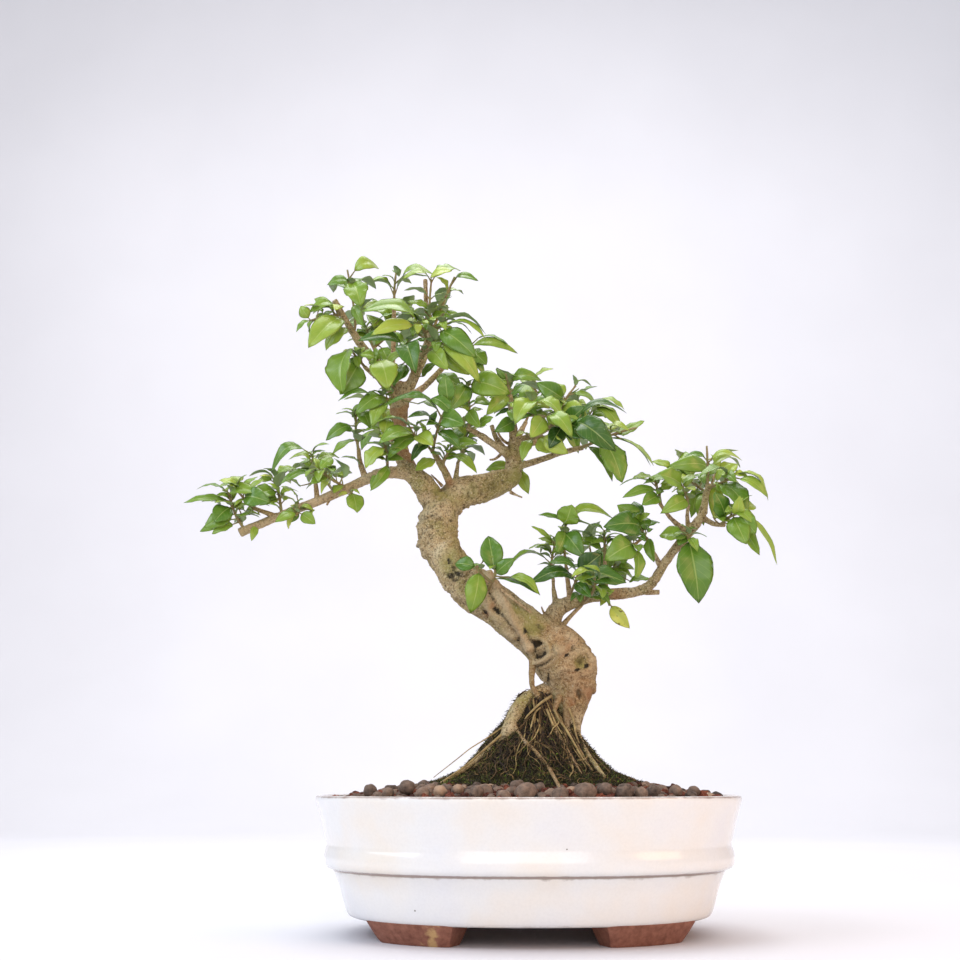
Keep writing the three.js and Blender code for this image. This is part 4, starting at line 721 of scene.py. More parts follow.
# The wood. Each limb is a list of [x, z, depth, radius] in the front view.
woodShape = {
    "trunk": [
        [21, 104, 7, 8], [22, 117, 6, 9.4], [24, 129, 5, 12], [26.5, 142, 3, 15.3], [25, 152, 2, 17],
        [16.5, 164, 0, 16.6], [3, 174.5, -3, 13.6], [-12, 185.8, -6, 11.8], [-24.5, 195, -8, 11.7],
        [-38, 205.6, -8, 12.4], [-47, 217, -6, 12], [-54, 230, -3, 11.6], [-54.6, 242, 0, 11.8], [-51, 254, 2, 11],
    ],
    "limbs": [
        [[-56, 243, 0, 9], [-44, 259.6, 4, 9.9], [-30, 264.2, 6, 9.2], [-18, 268, 8, 8], [-9, 272, 9, 6.4],
         [-7, 281, 8, 5], [-8, 291, 7, 4.6]],
        [[-50, 243, 0, 8], [-57, 255.5, 0, 8.2], [-63.5, 266, -1, 7.2], [-71, 274, -2, 6], [-80, 278, -5, 4.2]],
        [[-72, 274, -2, 4.4], [-90, 274, -7, 3.6], [-110, 265, -10, 3.2], [-128, 257, -12, 3], [-153, 247, -13, 2.7],
         [-178, 236, -14, 2.9]],
        [[-64, 266, -1, 5], [-73, 277, 2, 5.4], [-79, 291, 4, 5.4], [-80, 308, 4, 5.6], [-79, 326, 3, 6.2],
         [-79, 333, 3, 6.6]],
        [[-79, 326, 3, 4], [-89, 339, 0, 3.6], [-98, 350, -3, 3], [-110, 367, -7, 2.4], [-123, 390, -9, 1.9]],
        [[-77, 324, 2, 3.6], [-72, 335, 0, 3], [-67, 349, -5, 2.6], [-58, 371, -8, 2.2]],
        [[-77, 322, 4, 3.2], [-63, 332, 10, 2.2], [-48, 349, 13, 1.7]],
        [[-80, 322, 6, 2.4], [-84, 340, 10, 1.7], [-84, 366, 12, 1.5], [-84, 391, 12, 1.3]],
        [[-80, 320, 2, 2.6], [-89, 332, -4, 1.7], [-103, 345, -11, 1.4]],
        [[-80, 320, 8, 3], [-88, 338, 22, 2.1], [-94, 351, 34, 1.7]],
        [[-78, 318, 8, 3], [-68, 340, 22, 2.1], [-61, 356, 33, 1.7]],
        [[-61, 366, -7, 1.6], [-63, 384, -5, 1.4], [-64, 404, -4, 1.4]],
        [[-9, 286, 6, 3.6], [-14, 289, 0, 2.6], [-28, 299, -8, 2], [-37, 304, -10, 1.6]],
        [[-8, 286, 7, 4], [-7, 296, 2, 3.2], [-8, 310, -2, 2.4], [-9, 326, -4, 1.6]],
        [[-8, 288, 7, 3.6], [-1, 296, 2, 2.6], [8, 300, -2, 2.2], [18, 305, -5, 1.7]],
        [[-9, 277, 8, 2.6], [10, 283, 2, 2.3], [24, 288, -2, 2], [37, 291, -4, 1.7]],
        [[-8, 286, 9, 3.2], [-4, 298, 18, 2.2], [1, 308, 27, 1.7]],
        [[-6, 290, 8, 3], [10, 296, 16, 2.2], [24, 300, 22, 1.7]],
        [[-10, 285, 7, 3], [-18, 297, 4, 1.8], [-21, 306, 2, 1.5]],
        [[-46, 266, 2, 3], [-52, 277, -3, 1.8], [-59, 290, -8, 1.4]],
        [[-44, 266, 4, 2.6], [-43, 275, 6, 1.6], [-42, 282, 8, 1.3]],
        [[14, 168, 2, 8], [15, 180, 2, 6.4], [20, 189, 2, 5], [32, 194, 2, 4], [46, 197, 2, 3.6], [66, 199, 1, 3.2],
         [77, 204, 0, 3.1], [88, 220, -2, 3], [102, 237, -4, 3], [110, 247, -5, 2.8], [113, 259, -5, 2.3],
         [115, 268, -5, 1.8]],
        [[70, 200, 1, 2.4], [77, 199, 0, 1.8], [82, 199, -1, 1.5]],
        [[19, 186, 2, 2.6], [17, 201, 2, 1.4], [17, 208, 1, 1.2]],
        [[28, 192, 1, 2.4], [26, 204, -1, 1.5], [25, 214, -2, 1.3]],
        [[49, 196, 2, 2.2], [49, 208, 3, 1.3], [49, 220, 2, 1.1]],
        [[84, 214, -1, 2], [79, 224, -2, 1.3], [75, 233, -3, 1.1]],
        [[101, 236, -3, 2.4], [91, 245, -5, 1.3], [84, 255, -7, 1.1]],
        [[102, 236, -3, 2.2], [101, 246, -5, 1.2], [102, 254, -7, 1.1]],
        [[20, 176, 3, 2.2], [27, 184, 2, 1.3], [34, 191, 1, 1.2]],
        [[110, 246, -4, 2.2], [117, 242, -9, 1.5], [124, 241, -13, 1.2]],
        [[-130, 256, -12, 2], [-131, 264, -12, 1.4], [-132, 271, -12, 1.2]],
        [[-154, 246, -13, 2], [-162, 249, -14, 1.4], [-170, 252, -15, 1.2]],
        [[-100, 270, -8, 2.2], [-104, 282, -6, 1.5], [-105, 290, -5, 1.3]],
        [[-76, 276, -2, 2.6], [-82, 290, 10, 1.8], [-87, 300, 22, 1.4]],
    ],
    "roots": [
        [[12, 140, -2, 4.4], [-0.5, 133.5, -7, 4.4], [-6, 127, -10, 4.8], [-9.5, 120, -12, 4.4],
         [-13, 113, -13, 3.2], [-15.5, 106, 2, 1.9]],
        [[-3, 132, -11, 1.7], [-7, 120, -15, 1.3], [-3, 111, -20, 1.2], [5, 103, -25, 1.15], [13, 93, -31, 1.1],
         [20, 80, -38, 0.9]],
        [[20, 136, -6, 2.4], [16, 126, -12, 1.4], [17, 116, -18, 1.1], [24, 104, -25, 0.9], [32, 90, -33, 0.7]],
        [[24, 134, -6, 2.4], [24, 122, -12, 1.6], [29, 108, -20, 1.1], [38, 92, -30, 0.8]],
        [[28, 132, 0, 5], [30, 118, -3, 2.6], [35, 103, -6, 1.8], [46, 88, -8, 1.4]],
        [[26, 134, 10, 7], [28, 118, 18, 3.6], [33, 103, 27, 2.4], [41, 86, 38, 1.6]],
        [[16, 138, 8, 7], [8, 122, 18, 3.8], [2, 104, 28, 2.6], [-4, 85, 42, 1.8]],
        [[-6, 118, -8, 3], [-26, 101, -13, 1.8], [-52, 84, -18, 1.4]],
        [[4, 158, -7, 2.4], [3, 147, -9, 1.7], [4, 140, -9, 1.6], [9, 132, -8, 2]],
    ],
    "crownDepth": 1.4,  # how many times deeper the crown reaches than the depths noted in the lists
    "rootFree": 126,  # the height above which a root stands clear of the mound
    "thick": 2.5,  # limbs with at least this radius at their thickest are fused into one skin
    "voxel": 0.85, "smoothing": 4,
    "rootTint": (0.12, 0.1, 0.45, 0.41), "twigTint": (0.0, 0.3, 0.3, 0.5),  # dark, lichen, warm, and from painted shade in hollows to a painted highlight on raised bark
    "lumps": 1.9, "ridges": 0.8, "grain": 0.34,  # height of the bark's relief, coarse to fine
    "barkTan": "#B79E73", "barkOlive": "#A49661", "barkBrown": "#54462C", "barkPale": "#D6C69F",
    "barkWarm": "#A5744C", "barkHollowShade": "#41351F", "knot": "#1B1915", "lichen": "#98934F",
    "fleck": "#DCD6C2", "pit": "#4A3D2B",
    "knots": [  # hollows and marks as [x, z, half width, half height, turn in degrees, depth, darkness]
        [7, 167.5, 2, 1.6, 0, 2.8, 0.8], [9, 161, 4.6, 2.9, 10, 0.9, 0.24], [-18, 187.5, 3.2, 1.2, -35, 1.5, 0.55],
        [33, 156.5, 4.4, 3, 60, 1.1, 0.14], [36.5, 154, 1.6, 0.9, 40, 0.8, 0.75],
        [30.5, 151.6, 1.6, 0.8, 20, 0.8, 0.7], [31.5, 137, 1.7, 4, 20, 1.8, 0.3],
        [24.5, 160.5, 0.9, 0.7, 0, 0.5, 0.9], [-53, 263.5, 5.6, 1.5, 35, 0.9, 0.15], [-57, 258, 3.2, 1, 60, 0.8, 0.2],
        [-47, 218, 1.8, 3, 20, 0.2, 0.5], [-44.5, 214, 1.7, 2.4, 0, 0.2, 0.5],
        [-41.5, 210.3, 3.4, 1.8, -20, 0.3, 0.6], [-46, 209, 3, 2.2, 0, 0.3, 0.58],
        [-43.5, 206.6, 2.6, 1.4, 0, 0.2, 0.55], [-43, 222.5, 3, 3, 0, 0.1, 0.3], [-49, 224, 1.6, 1.6, 0, 0.1, 0.35],
        [-41, 227, 1.4, 3.6, 0, 0.2, 0.4], [-65, 281, 2.8, 1.1, 0, 0.7, 0.9], [-46.5, 244, 1.6, 1.3, 0, 0.5, 0.5],
        [-32, 199, 1.5, 1, 0, 0.7, 0.7], [-24.5, 186.5, 1.4, 2.4, 30, 0.6, 0.5], [-1, 175, 0.9, 1.9, 0, 0.7, 0.65],
        [-66, 228, 1.7, 1.7, 0, -1.8, 0.5], [-66.5, 240, 1.2, 1, 0, -1.7, 0.1], [-8, 260.5, 2.4, 1.2, 0, -1.1, 0.1],
        [-44, 241, 2.2, 3, 0, -1.2, 0.0], [14, 164, 2.4, 1.6, 20, -0.9, 0.0], [20, 150, 5, 5, 0, -0.8, 0.0],
        [-38, 196, 3, 4, 0, -0.9, 0.0], [8, 178, 1.2, 3, 50, 0.9, 0.4], [17.5, 152, 0.7, 4, -52, 0.6, 0.35],
        [13, 147, 1, 3, 0, 0.8, 0.6],
    ],
    "welts": [  # raised bands along the bark, as [x, z] lists, with half width, height and how warm they are
        ([(-24, 209), (-18, 199), (-12.5, 190), (-7.5, 181), (-2.5, 173), (2, 165)], 2.1, 4.2, 0.5),
        ([(1.5, 156), (8, 156.5), (15, 160), (22, 164.5), (29, 170)], 1.6, 1.8, 0.3),
        ([(6, 152.5), (12, 154), (18, 158), (26, 165)], 1.3, 1.2, 0.3),
        ([(3, 172), (7, 171.5), (12, 168), (14, 163), (11, 158), (6, 156.5), (3.5, 160), (3, 166)], 1.4, 1.8, 0.15),
        ([(36, 163), (39, 158), (38.5, 152), (34, 149.5)], 1.6, 1.6, 0.25),
        ([(-30, 205), (-26, 196), (-21, 186), (-14, 179), (-8, 172)], 2.2, 1.7, 0.2),
    ],
    "greens": [  # patches of lichen as [x, z, radius, amount]
        (3, 178, 7, 0.6), (-6, 188, 5, 0.45), (-40, 259, 9, 0.35), (-18, 264, 8, 0.4), (-44, 220, 9, 0.4),
        (33, 156, 4, 1.0), (-6, 272, 6, 0.6), (-54, 262, 5, 0.5), (24, 148, 13, -0.3),
    ],
    "twigs": [  # thin dry twigs as [x, z, depth, radius] lists
        [[-16, 201, -18, 1.0], [-5, 192.5, -14, 0.85], [4, 185.5, -9, 0.85], [11, 180, -5, 1.1]],
        [[-9, 262, 4, 1.3], [-5.5, 260.2, 2, 0.7], [-2, 258.8, 0, 0.5]],
        [[13, 183, 2, 1.2], [10.5, 187, 0, 0.7], [9.5, 190, -1, 0.4]], [[16, 185, 2, 1.0], [14.5, 190, 0, 0.5]],
        [[-46, 268, 4, 1.7], [-50, 277, 2, 1.2], [-56, 287, 0, 1.0]],
        [[-52, 266, 2, 1.2], [-56, 270.5, 0, 0.6], [-59, 273.5, -1, 0.4]],
        [[-12, 290, 8, 1.6], [-18, 284, 4, 0.9], [-22, 283, 2, 0.6]],
        [[-8, 292, 6, 1.2], [-14, 296, 0, 0.9], [-17, 301, -4, 0.7]],
        [[-84, 327, 2, 1.6], [-91, 332, -2, 0.9], [-96, 339, -4, 0.7]], [[-76, 303, 2, 1.6], [-71, 304, -3, 0.7]],
        [[-120, 262, -12, 1.2], [-124, 254, -14, 0.7]],
    ],
    "warms": [  # patches of warm inner bark as [x, z, radius, amount]
        (26, 150, 15, 0.4), (22, 172, 10, 0.3), (10, 178, 6, 0.4), (25, 131, 4, 1.0), (38, 137, 6, 0.75),
        (-21, 191, 2.2, 1.0), (-24.5, 186, 2.2, 1.0), (55, 196, 6, 0.7), (-48, 268, 2.5, 1.0), (30, 141, 9, 0.2),
    ],
}


def rodPath(path, deeper):
    return [(seen(x, z, depth * deeper), radius) for x, z, depth, radius in path]


def rootPath(path):  # each lower point moved in depth, or else let down, until it lies on the mound
    found = []
    for x, z, depth, radius in path:
        if z > woodShape["rootFree"]:
            found.append((seen(x, z, depth), radius))
            continue
        place = None
        d = -70.0
        while depth < 0 and d < depth + 10 and place is None:
            p = seen(x, z, d)
            if soilHeight(p[0], p[1]) >= p[2] - 0.4 * radius:
                place = p
            d += 0.5
        if place is None:
            place = seen(x, z, depth)
            place[2] = min(place[2], soilHeight(place[0], place[1]) + 0.4 * radius)
        found.append((place, radius))
    return found


def barkMaterial():
    # Living privet bark: thin, tight and matt, tan to olive with lichen, dark pits and pale flecks, no deep
    # fissures. Patches are 17 mm wide, lichen 7 mm, mottling 2 mm and chaff 1 mm, pits 1.6 mm apart, flecks 4 mm.
    material, tree, shader = newMaterial("privetBark", {"Roughness": 0.82, "IOR": 1.45, "Specular IOR Level": 0.35})
    where = addNode(tree, "ShaderNodeTexCoord").outputs["Object"]
    broad = addNode(tree, "ShaderNodeTexNoise", {"Scale": 60.0, "Detail": 5.0, "Roughness": 0.65}, {"Vector": where})
    base = addNode(tree, "ShaderNodeValToRGB",
                   {"stops": [(0.36, woodShape["barkOlive"]), (0.5, woodShape["barkTan"]),
                              (0.66, woodShape["barkPale"])]},
                   {"Fac": broad})
    marks = addNode(tree, "ShaderNodeVertexColor", {"layer_name": "tint"})
    parts = addNode(tree, "ShaderNodeSeparateColor", None, {0: marks})
    mottle = addNode(tree, "ShaderNodeTexNoise", {"Scale": 560.0, "Detail": 5.0, "Roughness": 0.75},
                     {"Vector": where})
    mottleStep = addNode(tree, "ShaderNodeValToRGB", {"stops": [(0.4, 0.9), (0.52, 0.0)]}, {"Fac": mottle})
    mottled = addNode(tree, "ShaderNodeMix", {"data_type": "RGBA", 7: woodShape["barkBrown"]},
                      {0: mottleStep, 6: base})
    chaff = addNode(tree, "ShaderNodeTexNoise", {"Scale": 1050.0, "Detail": 3.0, "Roughness": 0.6}, {"Vector": where})
    chaffStep = addNode(tree, "ShaderNodeValToRGB", {"stops": [(0.52, 0.0), (0.62, 0.8)]}, {"Fac": chaff})
    paled = addNode(tree, "ShaderNodeMix", {"data_type": "RGBA", 7: woodShape["barkPale"]},
                    {0: chaffStep, 6: mottled.outputs[2]})
    warmAmount = addNode(tree, "ShaderNodeMath", {"operation": "MULTIPLY", 1: 0.75}, {0: parts.outputs[2]})
    warmed = addNode(tree, "ShaderNodeMix", {"data_type": "RGBA", 7: woodShape["barkWarm"]},
                     {0: warmAmount, 6: paled.outputs[2]})
    lichenNoise = addNode(tree, "ShaderNodeTexNoise", {"Scale": 150.0, "Detail": 6.0, "Roughness": 0.75},
                          {"Vector": where})
    lichenAmount = addNode(tree, "ShaderNodeMath", {"operation": "MULTIPLY"}, {0: lichenNoise, 1: parts.outputs[1]})
    lichenStep = addNode(tree, "ShaderNodeValToRGB", {"stops": [(0.22, 0.0), (0.5, 0.8)]}, {"Fac": lichenAmount})
    greened = addNode(tree, "ShaderNodeMix", {"data_type": "RGBA", 7: woodShape["lichen"]},
                      {0: lichenStep, 6: warmed.outputs[2]})
    pits = addNode(tree, "ShaderNodeTexVoronoi", {"Scale": 640.0}, {"Vector": where})
    pitStep = addNode(tree, "ShaderNodeValToRGB", {"stops": [(0.12, 0.75), (0.26, 0.0)]}, {"Fac": pits})
    patches = addNode(tree, "ShaderNodeTexNoise", {"Scale": 110.0, "Detail": 3.0}, {"Vector": where})
    patchStep = addNode(tree, "ShaderNodeValToRGB", {"stops": [(0.45, 0.0), (0.6, 1.0)]}, {"Fac": patches})
    pitAmount = addNode(tree, "ShaderNodeMath", {"operation": "MULTIPLY"}, {0: pitStep, 1: patchStep})
    pitted = addNode(tree, "ShaderNodeMix", {"data_type": "RGBA", 7: woodShape["pit"]},
                     {0: pitAmount, 6: greened.outputs[2]})
    flecks = addNode(tree, "ShaderNodeTexVoronoi", {"Scale": 230.0}, {"Vector": where})
    fleckStep = addNode(tree, "ShaderNodeValToRGB", {"stops": [(0.055, 0.8), (0.085, 0.0)]}, {"Fac": flecks})
    flecked = addNode(tree, "ShaderNodeMix", {"data_type": "RGBA", 7: woodShape["fleck"]},
                      {0: fleckStep, 6: pitted.outputs[2]})
    # The dark channel holds the knots' dark marks, a darkening towards the trunk's foot and the painted shade beside
    # the welts
    ragged = addNode(tree, "ShaderNodeMath", {"operation": "MULTIPLY_ADD", 1: 1.7, 2: -0.85}, {0: mottle})
    darkSum = addNode(tree, "ShaderNodeMath", {"operation": "ADD"}, {0: parts.outputs[0], 1: ragged})
    darkStep = addNode(tree, "ShaderNodeValToRGB", {"stops": [(0.3, 0.0), (0.62, 0.96)]}, {"Fac": darkSum})
    darkened = addNode(tree, "ShaderNodeMix", {"data_type": "RGBA", 7: woodShape["knot"]},
                       {0: darkStep, 6: flecked.outputs[2]})
    # Painted shade: the bark is mixed darker where its relief is pushed in, read from the tint's alpha
    hollowShadeStep = addNode(tree, "ShaderNodeValToRGB", {"stops": [(0.12, 0.9), (0.46, 0.0)]},
                       {"Fac": marks.outputs["Alpha"]})
    hollowShaded = addNode(tree, "ShaderNodeMix", {"data_type": "RGBA", 7: woodShape["barkHollowShade"]},
                       {0: hollowShadeStep, 6: darkened.outputs[2]})
    # Painted highlight: raised bark is mixed paler, read from the tint's alpha; on the long left branch the same mix
    # gives its own paler colour
    raisedHighlightStep = addNode(tree, "ShaderNodeValToRGB", {"stops": [(0.56, 0.0), (0.95, 0.38)]},
                         {"Fac": marks.outputs["Alpha"]})
    paleAndHighlighted = addNode(tree, "ShaderNodeMix", {"data_type": "RGBA", 7: woodShape["barkPale"]},
                     {0: raisedHighlightStep, 6: hollowShaded.outputs[2]})
    relief = addNode(tree, "ShaderNodeBump", {"Strength": 1.0, "Distance": 0.0011}, {"Height": mottle})
    finer = addNode(tree, "ShaderNodeBump", {"Strength": 0.35, "Distance": 0.0004, "invert": True},
                    {"Height": pitStep, "Normal": relief})
    feed(tree, shader, {"Base Color": paleAndHighlighted.outputs[2], "Normal": finer})
    return material


def fusedSkin(shapes):  # one skin round overlapping tubes, softened where they meet
    heap = Heap()
    for points, faces in shapes:
        heap.add(points, faces)
    mesh = bpy.data.meshes.new("woodRough")
    mesh.from_pydata((np.vstack(heap.points) * 0.001).tolist(), [], heap.faces)
    rough = bpy.data.objects.new("woodRough", mesh)
    bpy.context.scene.collection.objects.link(rough)
    remesh = rough.modifiers.new("skin", "REMESH")
    remesh.mode = "VOXEL"
    remesh.voxel_size = woodShape["voxel"] * 0.001
    soften = rough.modifiers.new("soften", "SMOOTH")
    soften.factor = 0.5
    soften.iterations = woodShape["smoothing"]
    bakeModifiers(rough)
    count = len(rough.data.vertices)
    co = np.zeros(count * 3)
    rough.data.vertices.foreach_get("co", co)
    normals = np.zeros(count * 3)
    rough.data.vertices.foreach_get("normal", normals)
    faces = [tuple(p.vertices) for p in rough.data.polygons]
    bpy.data.objects.remove(rough)
    return co.reshape(-1, 3) * 1000, normals.reshape(-1, 3), faces


def makeTree():
    paths = [("trunk", rodPath(woodShape["trunk"], 1), 30)]
    paths += [("limb", rodPath(path, woodShape["crownDepth"]), 20) for path in woodShape["limbs"]]
    paths += [("root", rootPath(path), 14) for path in woodShape["roots"]]
    thick, thin, samples = [], [], []
    for index, (kind, path, sides) in enumerate(paths):
        isThick = max(radius for point, radius in path) >= woodShape["thick"]
        if isThick:
            fade = 0.05 if kind == "trunk" else 0.03
            points, faces, centres = tubeShape(path, sides, 1.6, lambda t: 1 + fade * math.sin(23 * t + index))
            thick.append((points, faces))
        else:
            points, faces, centres = tubeShape(path, 10, 1.4,
                                               lambda t: 1 + 0.1 * max(0, math.sin(31 * t + index)) ** 6)
            thin.append((points, faces, kind))
        samples += [(centre, tangent, radius, index) for centre, tangent, radius in centres]
    for path in woodShape["twigs"]:
        points, faces, _ = tubeShape(rodPath(path, woodShape["crownDepth"]), 8, 1.2)
        thin.append((points, faces, "twig"))
    points, normals, faces = fusedSkin(thick)
    tree = kdtree.KDTree(len(samples))
    for i, (centre, tangent, radius, index) in enumerate(samples):
        tree.insert(Vector(centre), i)
    tree.balance()
    near = [min(tree.find_n(Vector(p), 3), key=lambda hit: hit[2] / samples[hit[1]][2])[1] for p in points]
    front = points[:, 1] < np.array([samples[i][0][1] for i in near])
    reach = (points[:, 1] - eye[1]) / -eye[1]
    flatX = eye[0] + (points[:, 0] - eye[0]) / reach
    flatZ = eye[2] + (points[:, 2] - eye[2]) / reach
    push = np.zeros(len(points))
    tint = np.zeros((len(points), 4))
    leftBranch, apex = 3, 4  # places of the pale long branch and the snag in the paths
    for n, p in enumerate(points):
        centre, tangent, radius, index = samples[near[n]]
        weight = min(1.0, radius / 11)
        stretched = Vector((p - tangent * float(p @ tangent) * 0.55) / 7.5)
        push[n] += woodShape["lumps"] * weight * noise.noise(stretched)
        ridge = 1 - abs(noise.noise(Vector((p - tangent * float(p @ tangent) * 0.7) / 2.9)))
        push[n] += woodShape["ridges"] * weight * (ridge - 0.7)
        push[n] += woodShape["grain"] * (0.4 + 0.6 * weight) * noise.noise(Vector(p / 1.3))
        tint[n, 1] = 0.42 + 0.4 * noise.noise(Vector(p / 16)) - (0.35 if index == leftBranch else 0)
        tint[n, 2] = 0.02 + 0.2 * max(0, noise.noise(Vector(p / 20 + np.array([9, 0, 0]))))
        if index == apex:
            tint[n, 1] *= 0.45
            tint[n, 2] = 0.75
        if p[2] < 140:
            tint[n, 0] += 0.15 * min(1, (140 - p[2]) / 40)
    ragged = np.array([0.45 * noise.noise(Vector(p / 1.7)) for p in points])  # keeps the marks from round outlines
    for x, z, wide, tall, turn, hollow, dark in woodShape["knots"]:
        c, sn = math.cos(math.radians(turn)), math.sin(math.radians(turn))
        away = np.hypot(((flatX - x) * c + (flatZ - z) * sn) / wide, ((flatZ - z) * c - (flatX - x) * sn) / tall)
        away += ragged
        push -= hollow * front * np.exp(-away ** 2)
        if hollow > 0.9:
            push += 0.3 * hollow * front * np.exp(-((away - 1.7) / 0.5) ** 2)
        tint[:, 0] = np.maximum(tint[:, 0], dark * front * np.exp(-(away / 1.15) ** 4))
    for line, width, height, warmth in woodShape["welts"]:
        line = [np.array(p, float) for p in line]
        spots = np.array([along(line, t) for t in np.linspace(0, 1, 40)])
        away = np.sqrt(((np.stack([flatX, flatZ], 1)[:, None, :] - spots[None]) ** 2).sum(2)).min(1)
        away = away * (1 + 0.6 * ragged)
        push += front * height * np.exp(-(away / width) ** 2)
        # Painted shade along both sides of each welt, through the dark channel
        tint[:, 0] += 0.3 * front * np.exp(-((away - 1.7 * width) / (0.5 * width)) ** 2)
        tint[:, 2] += warmth * front * np.exp(-(away / width) ** 2)
    for channel, marks in ((1, woodShape["greens"]), (2, woodShape["warms"])):
        for x, z, size, amount in marks:
            tint[:, channel] += amount * front * np.exp(-(np.hypot(flatX - x, flatZ - z) / size) ** 2)
    points = points + normals * push[:, None]
    leftward = np.array([samples[i][3] == leftBranch for i in near])
    tint[:, 2] += 0.22 * leftward
    # The alpha carries painted light and shade: low in hollows for painted shade, high on raised bark for a painted
    # highlight; the long left branch's own paler colour is added to it
    tint[:, 3] = 0.5 + 0.22 * push + 0.3 * leftward
    heap = Heap()
    heap.add(points, faces, np.clip(tint, 0, 1))
    for points, faces, kind in thin:
        shaped = np.array([p + 0.12 * noise.noise(Vector(p / 2)) for p in points])
        heap.add(shaped, faces, woodShape["rootTint"] if kind == "root" else woodShape["twigTint"])
    heap.piece("tree_wood", [barkMaterial()], "bark", "tree")


makeTree()
print("wood made")
